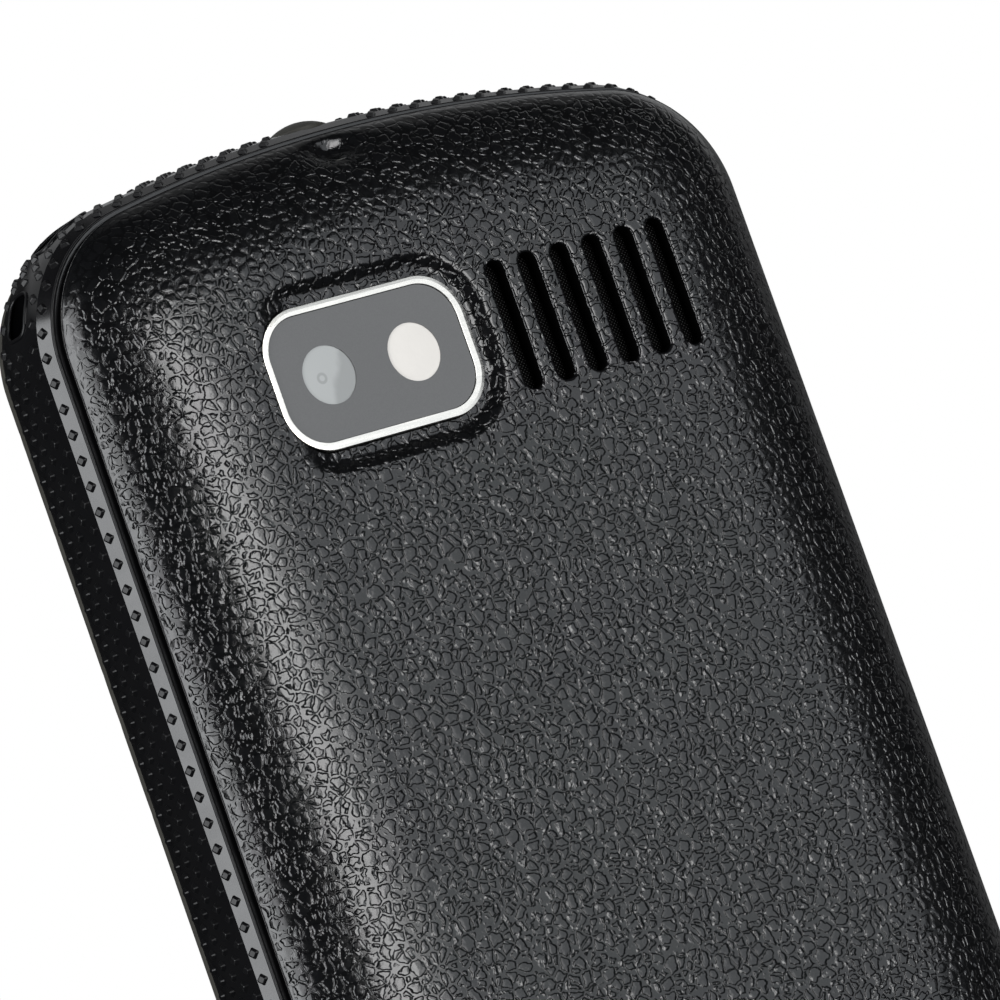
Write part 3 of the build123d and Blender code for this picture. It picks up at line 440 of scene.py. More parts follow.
def add_piece(name, shape, finish, body, slot, smooth=True, sharp=None, replaces=()):
    """New mesh object at the origin with one finish, riding on a body.

    Its faces turn outwards, so that its volume is positive.
    """
    vertices, faces = shape
    mesh = bpy.data.meshes.new(name)
    mesh.from_pydata(vertices.tolist(), [], faces)
    mesh.validate()
    solid = bmesh.new()
    solid.from_mesh(mesh)
    if solid.calc_volume(signed=True) < 0:
        mesh.flip_normals()
    solid.free()
    mesh.polygons.foreach_set("use_smooth", np.full(len(mesh.polygons), smooth))
    mesh.materials.append(finish)
    mesh.update()
    piece = bpy.data.objects.new(name, mesh)
    bpy.context.scene.collection.objects.link(piece)
    if sharp is not None:
        split_edges(piece, sharp)
    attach(piece, body)
    if replaces:
        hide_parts(*replaces)
    return piece


def grid_faces(rows, columns, wrap_rows, wrap_columns):
    """Quads of a grid of points, joined end to end where it wraps."""
    r = np.arange(rows if wrap_rows else rows - 1)
    c = np.arange(columns if wrap_columns else columns - 1)
    r, c = pairs(r, c)
    r2, c2 = (r + 1) % rows, (c + 1) % columns
    return np.stack([r * columns + c, r2 * columns + c, r2 * columns + c2, r * columns + c2], 1).tolist()


def ring_along(loop, spacing, profile):
    """A closed section carried round an outline.

    The section's points are (outward offset, height), turning anticlockwise as seen looking along the walk, so the
    faces point outwards. Each point of the grid is the outline's point plus its normal times the offset.
    """
    points, normals = points_along(loop, spacing)
    profile = np.asarray(profile)
    flat = points[:, None, :] + normals[:, None, :] * profile[None, :, 0, None]
    heights = np.broadcast_to(profile[None, :, 1, None], flat.shape[:2] + (1,))
    grid = np.concatenate([flat, heights], axis=2)
    return grid.reshape(-1, 3), grid_faces(len(points), len(profile), True, True)


def shell_between(rims, inner, keep, top, bottom):
    """Closed shell between two height fields over a flat region.

    The region is triangulated through its rims and inner points, the top and bottom take their heights from the two
    functions, and an upright wall joins them along every free edge.
    """
    sizes = [len(rim) for rim in rims]
    starts = np.cumsum([0] + sizes)
    edges = [np.stack([start + np.arange(n), start + (np.arange(n) + 1) % n], 1) for start, n in zip(starts, sizes)]
    flat = np.concatenate(list(rims) + [inner]) / MM
    tight = 1e-5
    found = delaunay_2d_cdt(flat.tolist(), np.concatenate(edges).tolist(), [], 0, tight)
    flat = np.array([tuple(v) for v in found[0]]) * MM
    triangles = np.array(found[2])
    triangles = triangles[keep(flat[triangles].mean(axis=1))]
    a, b, c = (flat[triangles[:, k]] for k in range(3))
    turned = (b[:, 0] - a[:, 0]) * (c[:, 1] - a[:, 1]) - (b[:, 1] - a[:, 1]) * (c[:, 0] - a[:, 0]) < 0
    triangles[turned] = triangles[turned][:, ::-1]
    used, triangles = np.unique(triangles, return_inverse=True)
    triangles = triangles.reshape(-1, 3)
    flat = flat[used]
    n = len(flat)
    sides = np.concatenate([triangles[:, [0, 1]], triangles[:, [1, 2]], triangles[:, [2, 0]]])
    _, where, times = np.unique(np.sort(sides, axis=1), axis=0, return_index=True, return_counts=True)
    free = sides[where[times == 1]]
    walls = np.stack([free[:, 1], free[:, 0], free[:, 0] + n, free[:, 1] + n], 1)
    vertices = np.concatenate([np.column_stack([flat, top(flat)]), np.column_stack([flat, bottom(flat)])])
    faces = triangles.tolist() + (triangles[:, ::-1] + n).tolist() + walls.tolist()
    return vertices, faces


# Finishes

# Values between which most of a noise lies
NOISE_SPAN = (0.3, 0.7)

# Index of refraction of the plastics
PLASTIC_IOR = 1.5

# Moulded plastics: colour, roughness, its spread, waves in each millimetre, their height in millimetres, other sockets
PLASTICS = {
    # Painted shade: near black colour and almost no gloss on the slot walls
    "slot_walls": ("hollow", 0.7, 0.1, 3.0, 0.004, {"Specular_IOR_Level": 0.02}),
    "cover_inside": ("face", 0.45, 0.06, 3.0, 0.004, {}),
    "gloss_black_plastic": ("band", 0.17, 0.03, 0.8, 0.002, {"IOR": PLASTIC_IOR}),
    "stud_black_plastic": ("band", 0.34, 0.03, 2.0, 0.002, {"Specular_IOR_Level": 0.3}),
    "smooth_black_plastic": ("button", 0.65, 0.05, 1.5, 0.003, {"Specular_IOR_Level": 0.25}),
    "satin_charcoal_plastic": ("face", 0.42, 0.05, 4.0, 0.004, {"IOR": PLASTIC_IOR}),
    "inner_plastic": ("inner", 0.45, 0.06, 3.0, 0.006, {}),
    "key_plastic": ("key", 0.32, 0.02, 2.0, 0.004, {"IOR": PLASTIC_IOR}),
    "printed_white": ("legend", 0.5, 0.05, 6.0, 0.002, {}),
    "printed_green": ("call", 0.4, 0.05, 6.0, 0.002, {}),
    "printed_red": ("end", 0.4, 0.05, 6.0, 0.002, {}),
    "printed_black": ("key", 0.4, 0.05, 6.0, 0.002, {}),
}

# Metals: colour, roughness, brush lines in each millimetre
METALS = {
    "silver_rim": ("rim", 0.22, 6.0),
    "tinned_steel": ("steel", 0.3, 3.0),
    "dark_steel": ("dark_steel", 0.35, 5.0),
    "gold_plate": ("gold", 0.25, 5.0),
    "ring_silver": ("ring", 0.3, 4.0),
}


def shade(base, share):
    """A colour times a share, no brighter than white."""
    return tuple(min(share * c, 1.0) for c in base)


class Finish:
    """Node tree of one material around a principled shader."""

    def __init__(self, name, base, roughness, **sockets):
        self.material = bpy.data.materials.new(name)
        self.material.use_nodes = True
        self.tree = self.material.node_tree
        self.shader = self.tree.nodes["Principled BSDF"]
        self.put(self.shader, "Base Color", (*base, 1.0))
        self.put(self.shader, "Roughness", roughness)
        for socket, value in sockets.items():
            self.put(self.shader, socket.replace("_", " "), value)

    def put(self, node, socket, value):
        """Set a socket to a value, or join it to an output."""
        target = node.inputs[socket]
        if isinstance(value, bpy.types.NodeSocket):
            self.tree.links.new(value, target)
        else:
            target.default_value = value

    def node(self, kind, out=0, settings=None, **sockets):
        """New node; returns one of its outputs."""
        made = self.tree.nodes.new(kind)
        for key, value in (settings or {}).items():
            setattr(made, key, value)
        for socket, value in sockets.items():
            self.put(made, socket.replace("_", " "), value)
        return made.outputs[out]

    def math(self, operation, *values, kind="ShaderNodeMath", out=0):
        """Math node on one value or more."""
        made = self.tree.nodes.new(kind)
        made.operation = operation
        for index, value in enumerate(values):
            self.put(made, index, value)
        return made.outputs[out]

    def vector(self, operation, *values, out=0):
        """Vector math node on one vector or more."""
        return self.math(operation, *values, kind="ShaderNodeVectorMath", out=out)

    def millimetres(self):
        """Object coordinates in millimetres."""
        place = self.node("ShaderNodeTexCoord", out=3)
        return self.node("ShaderNodeMapping", Vector=place, Scale=(1 / MM, 1 / MM, 1 / MM))

    def shaken(self, vector, scale, reach):
        """Place moved about by noise, up to half a reach each way."""
        drift = self.vector("SUBTRACT", self.noise(vector, scale, out=1), (0.5, 0.5, 0.5))
        return self.vector("MULTIPLY_ADD", drift, (reach, reach, reach), vector)

    def noise(self, vector, scale, detail=2.0, out=0):
        """Noise with a scale in features for each unit of a vector."""
        return self.node("ShaderNodeTexNoise", out=out, Vector=vector, Scale=scale, Detail=detail)

    def ripple(self, vector, scale, detail, reach):
        """Noise about zero, up to half a reach each way."""
        return self.math("MULTIPLY", self.math("SUBTRACT", self.noise(vector, scale, detail), 0.5), reach)

    def distance(self, vector):
        """Distance of a point from the origin."""
        return self.vector("LENGTH", vector, out=1)

    def ramp(self, value, low, high, to_low=0.0, to_high=1.0, smooth=True):
        """Value mapped from one range to another."""
        settings = {"interpolation_type": "SMOOTHSTEP" if smooth else "LINEAR"}
        return self.node("ShaderNodeMapRange", settings=settings, Value=value, From_Min=low, From_Max=high,
                         To_Min=to_low, To_Max=to_high)

    def bump(self, height, distance):
        """Bump of a real height in metres."""
        self.put(self.shader, "Normal", self.node("ShaderNodeBump", Height=height, Distance=distance, Strength=1.0))

    def mix(self, factor, first, second):
        """Mix of two colours by a factor."""
        made = self.tree.nodes.new("ShaderNodeMix")
        made.data_type = "RGBA"
        self.put(made, 0, factor)
        for index, value in ((6, first), (7, second)):
            self.put(made, index, value if isinstance(value, bpy.types.NodeSocket) else (*value, 1.0))
        return made.outputs[2]

    def wear(self, pattern, span, roughness):
        """Roughness that goes from its first to its second value as a pattern runs through a span."""
        self.put(self.shader, "Roughness", self.ramp(pattern, *span, *roughness))

    def tint(self, pattern, base, low, high):
        """Base colour that goes from a low to a high share of a colour as a pattern goes from 0 to 1."""
        self.put(self.shader, "Base Color", self.mix(pattern, shade(base, low), shade(base, high)))


def grained_plastic(colours, grain):
    """Moulded leather grain: lobed islands with gently rounded tops, parted by flat channels that are painted darker as
    shade.

    A cell pattern gives the distance to the nearest channel's middle. An island's side rises out of the channel over a
    short stretch, and its dome bends over towards its middle. An attribute of the mesh gives the share of the depth.
    """
    finish = Finish("grained_black_plastic", colours.cover, grain.plain_roughness, IOR=PLASTIC_IOR)
    where = finish.millimetres()
    moved = finish.shaken(where, grain.shake_scale, grain.shake_reach)
    settings = {"feature": "DISTANCE_TO_EDGE"}
    channel = finish.node("ShaderNodeTexVoronoi", settings=settings, Vector=moved, Scale=grain.scale)
    reach = finish.math("ADD", channel, finish.ripple(where, grain.uneven_scale, detail=0.5, reach=grain.uneven_reach))
    islands = finish.ramp(reach, *grain.side)
    domes = finish.math("MULTIPLY", finish.ramp(reach, *grain.dome), grain.dome_share)
    fine = finish.math("MULTIPLY", finish.noise(where, grain.fine_scale, detail=3.0), grain.fine_share)
    height = finish.math("ADD", finish.math("ADD", islands, domes), fine)
    share = finish.node("ShaderNodeAttribute", out=2, settings={"attribute_name": "grain"})
    finish.bump(finish.math("MULTIPLY", height, share), grain.depth)
    finish.wear(finish.noise(where, grain.wear_scale, detail=4.0), NOISE_SPAN, grain.wear)
    # Painted shade: the channels get a darker colour than the islands' tops
    finish.tint(islands, colours.cover, low=grain.channel_tone, high=1.0)
    return finish.material


def moulded_plastic(colours, name):
    """Smooth moulded plastic: a faint waviness, and roughness that varies a little over the surface."""
    tone, roughness, spread, waves, height, sockets = PLASTICS[name]
    base = getattr(colours, tone)
    finish = Finish(name, base, roughness, **sockets)
    where = finish.millimetres()
    cloud = finish.noise(where, scale=0.35, detail=4.0)
    finish.wear(cloud, NOISE_SPAN, (roughness - spread, roughness + spread))
    finish.tint(cloud, base, low=0.8, high=1.2)
    finish.bump(finish.noise(where, waves), height * MM)
    return finish.material


def brushed_metal(colours, name):
    """Bright metal with fine brush lines along X."""
    tone, roughness, lines = METALS[name]
    finish = Finish(name, getattr(colours, tone), roughness, Metallic=1.0)
    along, swing = 0.4, 0.3
    stretched = finish.node("ShaderNodeMapping", Vector=finish.millimetres(), Scale=(along, lines, lines))
    brush = finish.noise(stretched, scale=1.0, detail=3.0)
    finish.wear(brush, span=(0.25, 0.75), roughness=(roughness * (1 - swing), roughness * (1 + swing)))
    finish.bump(brush, distance=0.003 * MM)
    return finish.material


def printed_panel(colours):
    """Clear gloss panel with a cloudy, finely speckled grey print behind it."""
    finish = Finish("grey_panel", colours.panel, 0.16, IOR=PLASTIC_IOR, Coat_Weight=0.3, Coat_Roughness=0.04)
    where = finish.millimetres()
    cloud = finish.noise(where, scale=0.15)
    dust = finish.noise(where, scale=14.0)
    specks = finish.ramp(dust, low=0.35, high=0.65, to_low=0.94, to_high=1.06, smooth=False)
    tone = finish.mix(cloud, shade(colours.panel, share=0.94), shade(colours.panel, share=1.05))
    speckled = finish.node("ShaderNodeVectorMath", settings={"operation": "SCALE"}, Vector=tone, Scale=specks)
    finish.put(finish.shader, "Base Color", speckled)
    return finish.material


def lens_glass(colours, middle, radius):
    """Pale lens port: a lighter left part, a darker right part beyond a slanting wavy line, and a small iris ring.

    The two parts are painted light and shade. The pattern is measured from the port's middle in shares of its radius.
    """
    finish = Finish("lens_port", colours.lens, 0.12, IOR=PLASTIC_IOR, Coat_Weight=0.5, Coat_Roughness=0.03)
    place = finish.node("ShaderNodeTexCoord", out=3)
    to_middle = (-middle[0] / radius, -middle[1] / radius, 0.0)
    centred = finish.node("ShaderNodeMapping", Vector=place, Location=to_middle, Scale=(1 / radius, 1 / radius, 0.0))
    parts = finish.node("ShaderNodeSeparateXYZ", Vector=centred)
    slant, line = 0.5, (0.12, 0.5)
    to_iris, ring_inside, ring_outside, ring_strength = (0.3, 0.05, 0.0), (0.08, 0.12), (0.17, 0.22), 0.45
    across = finish.math("SUBTRACT", parts, finish.math("MULTIPLY", parts.node.outputs[1], slant))
    wave = finish.ripple(centred, scale=1.3, detail=2.0, reach=0.5)
    # Painted light and shade: lighter on the left, darker on the right of the slanting line
    side = finish.ramp(finish.math("ADD", across, wave), *line)
    tone = finish.mix(side, shade(colours.lens, share=1.12), shade(colours.lens, share=0.8))
    reach = finish.distance(finish.node("ShaderNodeMapping", Vector=centred, Location=to_iris))
    ring = finish.math("SUBTRACT", finish.ramp(reach, *ring_inside), finish.ramp(reach, *ring_outside))
    tone = finish.mix(finish.math("MULTIPLY", ring, ring_strength), tone, shade(colours.lens, share=0.5))
    finish.put(finish.shader, "Base Color", tone)
    return finish.material


def flash_cover(colours):
    """White flash port with fine prism cells under its surface."""
    finish = Finish("flash_port", colours.flash, 0.25, IOR=1.45, Coat_Weight=0.3, Coat_Roughness=0.05)
    where = finish.millimetres()
    finish.tint(finish.noise(where, scale=0.6), colours.flash, low=0.97, high=1.04)
    finish.bump(finish.node("ShaderNodeTexVoronoi", Vector=where, Scale=2.5), distance=0.004 * MM)
    return finish.material


def dotted_screen(base, pitch, dot):
    """Fine dark screen: small bright points on a black ground, in a square pattern turned by 45 degrees.

    The points are painted glints on the wire crossings; their radius and soft edge are shares of the pitch.
    """
    black, soft, half = (0.0006, 0.0006, 0.0006), 0.06, 0.5
    finish = Finish("sound_screen", black, 0.6, Specular_IOR_Level=0.02)
    place = finish.node("ShaderNodeTexCoord", out=3)
    turned = finish.node("ShaderNodeMapping", Vector=place, Scale=(1 / pitch,) * 3,
                         Rotation=(0.0, 0.0, math.radians(45.0)))
    cells = finish.vector("FRACTION", turned)
    middle = finish.node("ShaderNodeMapping", Vector=cells, Location=(-half, -half, 0.0), Scale=(1.0, 1.0, 0.0))
    # Painted glints: bright points in the screen's colour on the black ground
    points = finish.ramp(finish.distance(middle), dot + soft, dot - soft)
    finish.put(finish.shader, "Base Color", finish.mix(points, black, tuple(base)))
    finish.bump(points, distance=0.03 * MM)
    return finish.material


def rough_rubber(colours):
    """Dull rubber or foam: a fine pitted surface with almost no gloss."""
    finish = Finish("soft_rubber", colours.rubber, 0.85, Specular_IOR_Level=0.25)
    pits = finish.noise(finish.millimetres(), scale=8.0, detail=4.0)
    finish.tint(pits, colours.rubber, low=0.6, high=1.3)
    finish.bump(pits, distance=0.02 * MM)
    return finish.material


def solder_mask(colours):
    """Circuit board: green mask over square-cornered tracks that stand up a little and look lighter."""
    finish = Finish("solder_mask", colours.board, 0.35, IOR=PLASTIC_IOR)
    settings = {"feature": "F1", "distance": "CHEBYCHEV"}
    near = finish.node("ShaderNodeTexVoronoi", settings=settings, Vector=finish.millimetres(), Scale=0.55)
    tracks_each = 4.0
    steps = finish.math("FRACT", finish.math("MULTIPLY", near, tracks_each))
    tracks = finish.math("MULTIPLY", finish.ramp(steps, low=0.5, high=0.6), finish.ramp(steps, low=1.0, high=0.9))
    finish.tint(tracks, colours.board, low=0.7, high=1.7)
    finish.bump(tracks, distance=0.03 * MM)
    return finish.material


def battery_sleeve(colours, low, high):
    """Shrink sleeve: a plain grey wrap with darker bands at both ends and faint creases."""
    finish = Finish("battery_sleeve", colours.wrap, 0.4, IOR=PLASTIC_IOR)
    where = finish.millimetres()
    parts = finish.node("ShaderNodeSeparateXYZ", Vector=where)
    along = finish.ramp(parts.node.outputs[1], low / MM, high / MM, -1.0, 1.0, smooth=False)
    bands = finish.ramp(finish.math("ABSOLUTE", along), low=0.84, high=0.86)
    stretched = finish.node("ShaderNodeMapping", Vector=where, Scale=(1.5, 0.12, 1.0))
    creases = finish.noise(stretched, scale=1.0, detail=3.0)
    finish.tint(bands, colours.wrap, low=1.0, high=0.2)
    finish.wear(creases, NOISE_SPAN, roughness=(0.32, 0.5))
    finish.bump(creases, distance=0.03 * MM)
    return finish.material


def display_glass(colours, front, box):
    """Gloss window: black printed border round a slightly lighter view."""
    finish = Finish("display_glass", colours.screen, 0.05, IOR=PLASTIC_IOR, Coat_Weight=0.5, Coat_Roughness=0.03)
    where = finish.millimetres()
    parts = finish.node("ShaderNodeSeparateXYZ", Vector=where)
    soft = 0.03
    inside = 1.0
    for axis, border in ((0, front.border_x), (1, front.border_y)):
        low, high = box[0][axis] / MM, box[1][axis] / MM
        from_middle = finish.math("ABSOLUTE", finish.math("SUBTRACT", parts.node.outputs[axis], (low + high) / 2))
        edge = (high - low) / 2 - border / MM
        inside = finish.math("MULTIPLY", inside, finish.ramp(from_middle, edge + soft, edge - soft))
    finish.tint(inside, colours.screen, low=0.2, high=1.0)
    smear = finish.noise(where, scale=0.08, detail=4.0)
    finish.wear(smear, span=(0.35, 0.7), roughness=(0.03, 0.09))
    return finish.material


# Pieces

def crown_inset(body, cover, points):
    """Inset of the cover's outline that passes through each point, found by halving.

    Outlines shrink inwards with the inset and lose corner radius at the taper's rate, down to the flat back's edge.
    """
    x, y = np.abs(points[:, 0]), np.abs(points[:, 1])
    low = np.zeros(len(points))
    high = np.full(len(points), cover.foot_inset + cover.crown_reach * math.cos(cover.crown_start))
    foot_corner = body.corner_radius - cover.foot_inset
    for _ in range(INSET_HALVINGS):
        inset = (low + high) / 2
        radius = foot_corner - (inset - cover.foot_inset) * cover.corner_taper
        half_width = body.half_width - inset
        end_radius = body.end_radius - inset
        arc_y = body.half_length - inset - end_radius
        corner_x = half_width - radius
        corner_y = arc_y + np.sqrt((end_radius - radius) ** 2 - corner_x ** 2)
        side = x - half_width
        end = np.hypot(x, y - arc_y) - end_radius
        corner = np.hypot(x - corner_x, y - corner_y) - radius
        on_end = x * (corner_y - arc_y) < (y - arc_y) * corner_x
        gap = np.where(y <= corner_y, side, np.where(on_end, end, corner))
        inside = gap < 0
        low = np.where(inside, inset, low)
        high = np.where(inside, high, inset)
    return (low + high) / 2


def crown_height(cover, inset, wall):
    """Height of the shoulder's ellipse at an inset, a wall's thickness inside the cover's outside.

    It is the ellipse's middle height plus its upward half axis times the root of 1 less the square of the share of its
    half axis across that the point lies from its middle.
    """
    middle = cover.foot_inset + cover.crown_reach * math.cos(cover.crown_start)
    base = cover.top - cover.crown_height
    share = np.clip((middle - inset) / (cover.crown_reach - wall), 0.0, 1.0)
    return np.maximum(base + (cover.crown_height - wall) * np.sqrt(1 - share ** 2), cover.seam)


def slot_shapes(cover):
    """Width, length, corner radius and middle of each sound slot."""
    x, y = box_middle(MESH_BOX)
    places = x + (np.arange(cover.slot_count) - (cover.slot_count - 1) / 2) * cover.slot_pitch
    return [(cover.slot_width, cover.slot_length, cover.slot_width / 2, (place_x, y)) for place_x in places]


def rim_outline(window, grow=0.0):
    """Width, height, corner radius and middle of the camera rim's foot, grown on all sides."""
    low, high = BEZEL_BOX
    out = window.rim_grow + grow
    x, y = box_middle(BEZEL_BOX)
    return high.x - low.x + 2 * out, high.y - low.y + 2 * out, window.rim_corner + out, (x + window.rim_shift, y)


def cover_shell(body, cover, window):
    """Rear cover as a shell: an elliptical crown that dips at the camera rim, the slots and the nail dimple.

    Three dips are taken off the crown's height: a smooth ramp of the distance to the rim's opening, a quarter circle of
    the distance to the nearest slot, and a bell curve about the dimple's middle that runs out at the cover's edge.
    """
    opening = rim_outline(window, cover.window_gap)
    slots = slot_shapes(cover)

    def echoes(loop, spacing, steps):
        points, normals = points_along(loop, spacing)
        return (points[None] + np.asarray(steps)[:, None, None] * normals[None]).reshape(-1, 2)

    def top(points):
        inset = crown_inset(body, cover, points)
        z = crown_height(cover, inset, 0.0)
        moat = (cover.moat_width - box_distance(points, *opening)) / (cover.moat_width - cover.moat_floor)
        near_side = smooth_step((points[:, 0] - opening[3][0] + opening[0] / 2) / cover.moat_fade)
        z -= cover.moat_depth * smooth_step(moat) * near_side
        near = np.min([box_distance(points, *slot) for slot in slots], axis=0)
        bend = np.clip(1 - near / cover.slot_round, 0.0, 1.0)
        z -= cover.slot_dip * (1 - np.sqrt(1 - bend ** 2))
        x, y = (points - np.array(cover.dimple[:2])).T
        scoop = np.exp(-(x / cover.dimple_width) ** 2 - (y / cover.dimple_length) ** 2)
        z -= cover.dimple_depth * scoop * smooth_step((inset - cover.foot_inset) / cover.dimple_edge)
        return np.maximum(z, cover.seam + cover.edge)

    def bottom(points):
        return crown_height(cover, crown_inset(body, cover, points), cover.wall)

    def keep(points):
        inside = crown_inset(body, cover, points) > cover.foot_inset
        for hole in holes:
            inside &= box_distance(points, *hole) > 0
        return inside

    fine = cover.spacing / 2
    holes = [opening] + slots
    edge = body_loop(body, cover.foot_inset)
    loops = [(edge, cover.spacing), (box_loop(*opening), fine)] + [(box_loop(*slot), fine / 2) for slot in slots]
    edge_steps = -cover.edge_reach * (np.arange(1, cover.edge_rings + 1) / cover.edge_rings) ** 2
    moat_steps = cover.moat_width * np.arange(1, cover.moat_rings + 1) / cover.moat_rings
    slot_steps = cover.slot_round * (np.arange(1, cover.slot_rings + 1) / cover.slot_rings) ** 1.5
    steps = [edge_steps, moat_steps] + [slot_steps] * len(slots)
    rims = [echoes(loop, spacing, [0.0]) for loop, spacing in loops]
    rings = np.concatenate([echoes(*entry, step) for entry, step in zip(loops, steps)])
    xs = np.arange(-body.half_width, body.half_width, cover.spacing)
    ys = np.arange(-body.half_length, body.half_length, cover.spacing)
    net = np.stack(pairs(xs, ys), 1)
    clear = crown_inset(body, cover, net) > cover.foot_inset + cover.edge_reach + fine
    clear &= box_distance(net, *opening) > cover.moat_width + fine
    for slot in slots:
        clear &= box_distance(net, *slot) > cover.slot_round + fine
    return shell_between(rims, np.concatenate([rings, net[clear]]), keep, top, bottom)


def grain_share(body, cover, grain, points):
    """Share of the grain's depth at points: a smooth ramp of the distance from the cover's edge.

    The ramp starts at the least share, and its width grows by a second smooth ramp towards the top end.
    """
    edge = crown_inset(body, cover, points) - cover.foot_inset
    end = smooth_step((points[:, 1] / body.half_length - grain.end_start) / grain.end_span)
    fade = smooth_step(edge / (grain.edge_fade + grain.end_fade * end))
    return grain.least + (1 - grain.least) * fade


class PHONE_OT_cover(bpy.types.Operator):
    """Grained rear cover with its moat, slots, nail dimple and centring lip"""

    bl_idname = "phone.cover"
    bl_label = "Rear cover"

    def execute(self, context):
        scene = context.scene
        body, cover, grain, colours = scene.phone_body, scene.phone_cover, scene.phone_grain, scene.phone_colours
        vertices, faces = cover_shell(body, cover, scene.phone_window)
        shell = add_piece("rear_cover_shell", (vertices, faces), grained_plastic(colours, grain), "cover", "cover",
                          sharp=SHARP_COVER, replaces=["rear_cover"])
        # The shell's quads are its upright walls, and those inside the slots take the second finish, painted near black
        # as shade
        walls = vertices[np.array([face for face in faces if len(face) == 4])].mean(axis=1)[:, :2]
        depth = np.min([box_distance(walls, *slot) for slot in slot_shapes(cover)], axis=0)
        part = np.zeros(len(faces), np.int32)
        part[-len(walls):] = depth < cover.slot_width / 4
        shell.data.materials.append(moulded_plastic(colours, "slot_walls"))
        shell.data.polygons.foreach_set("material_index", part)
        share = grain_share(body, cover, grain, vertices[:, :2]).astype(np.float32)
        shell.data.attributes.new("grain", "FLOAT", "POINT").data.foreach_set("value", share)
        outer, inner = -cover.lip_inset, -cover.lip_inset - cover.lip_wall
        profile = [(outer, cover.lip_low), (outer, cover.lip_high), (inner, cover.lip_high), (inner, cover.lip_low)]
        add_piece("rear_cover_lip", ring_along(body_loop(body), LIP_STEP, profile),
                  moulded_plastic(colours, "cover_inside"), "cover", "cover", sharp=SHARP_LIP)
        return {"FINISHED"}


def band_inset(body, height):
    """Inset of the band: a circle's arc up to the shoulder, then a straight slope."""
    arc = body.band_radius - np.sqrt(body.band_radius ** 2 - (height - body.widest) ** 2)
    foot = body.band_radius - math.sqrt(body.band_radius ** 2 - (body.shoulder_low - body.widest) ** 2)
    slope = (body.shoulder_inset - foot) / (body.shoulder_high - body.shoulder_low)
    return np.where(height < body.shoulder_low, arc, foot + slope * (height - body.shoulder_low))


def eyelet_mouths(band):
    """Place round the corner and width of the lanyard eyelet's two mouths."""
    return (band.eyelet_side, band.eyelet_side_width), (band.eyelet_top, band.eyelet_top_width)


def stud_places(body, band):
    """Points, normals and heights of the studs, in rows that are staggered by half a pitch.

    Places near the sockets, the button and the eyelet's mouths are skipped.
    """
    loop = body_loop(body)
    total = loop_length(loop)
    each = int(round(total / band.stud_pitch))
    row, step = pairs(np.arange(band.stud_rows), np.arange(each))
    distance = (step + 0.5 * (row % 2)) * total / each
    height = band.stud_top_row - row * band.stud_row_step
    points, normals = walk(loop, distance)
    end_facing = 0.9
    near = np.abs(points[:, 0] - box_middle(BUTTON_BOX)[0]) < band.button_half_width
    smooth = (normals[:, 1] > end_facing) & near
    for node in ("usb_socket", "audio_jack"):
        near = np.abs(points[:, 0] - box_middle(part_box(node))[0]) < band.socket_half_width
        smooth |= (normals[:, 1] < -end_facing) & near
    turn = np.arctan2(normals[:, 1], -normals[:, 0])
    level = np.abs(height - body.widest) < band.eyelet_height / 2 + band.eyelet_margin
    for middle, width in eyelet_mouths(band):
        reach = (width / 2 + band.eyelet_margin) / body.corner_radius
        smooth |= level & (np.abs(turn - middle) < reach)
    return points[~smooth], normals[~smooth], height[~smooth]


def stud_field(body, band):
    """Flat-topped diamond studs with cut corners: each is a root, a base and a smaller chamfered top.

    A stud's rings are its outline times a share, lifted along the band's outward direction by a rise.
    """
    points, normals, height = stud_places(body, band)
    tiny = 0.01 * MM
    inset = band_inset(body, height)
    slope = (band_inset(body, height + tiny) - band_inset(body, height - tiny)) / (2 * tiny)
    lean = np.arctan(slope)
    out = np.column_stack([normals * np.cos(lean)[:, None], np.sin(lean)])
    along = np.column_stack([-normals[:, 1], normals[:, 0], np.zeros(len(normals))])
    across = np.cross(out, along)
    seat = np.column_stack([points - normals * inset[:, None], height])
    corners = np.array([(1, 0), (0, 1), (-1, 0), (0, -1)])
    cut = band.stud_cut
    ring = np.stack([corners * (1 - cut) + np.roll(corners, 1, axis=0) * cut,
                     corners * (1 - cut) + np.roll(corners, -1, axis=0) * cut], axis=1).reshape(-1, 2)
    levels = ((band.stud_root_share, -band.stud_root), (1.0, 0.0),
              (band.stud_edge_share, band.stud_edge_rise * band.stud_height), (band.stud_top_share, band.stud_height))
    layers = []
    for share, rise in levels:
        reach = ring * band.stud_reach * share
        layer = seat[:, None, :] + rise * out[:, None, :]
        layer = layer + reach[None, :, 0, None] * along[:, None, :] - reach[None, :, 1, None] * across[:, None, :]
        layers.append(layer)
    vertices = np.concatenate(layers, axis=1)
    each, sides = vertices.shape[1], len(ring)
    quads = np.array(grid_faces(len(levels), sides, False, True))[:, ::-1]
    caps = np.stack([np.arange(sides)[::-1], each - sides + np.arange(sides)])
    offsets = np.arange(len(points))[:, None, None] * each
    faces = (offsets + quads[None]).reshape(-1, 4).tolist() + (offsets + caps[None]).reshape(-1, sides).tolist()
    return vertices.reshape(-1, 3), faces


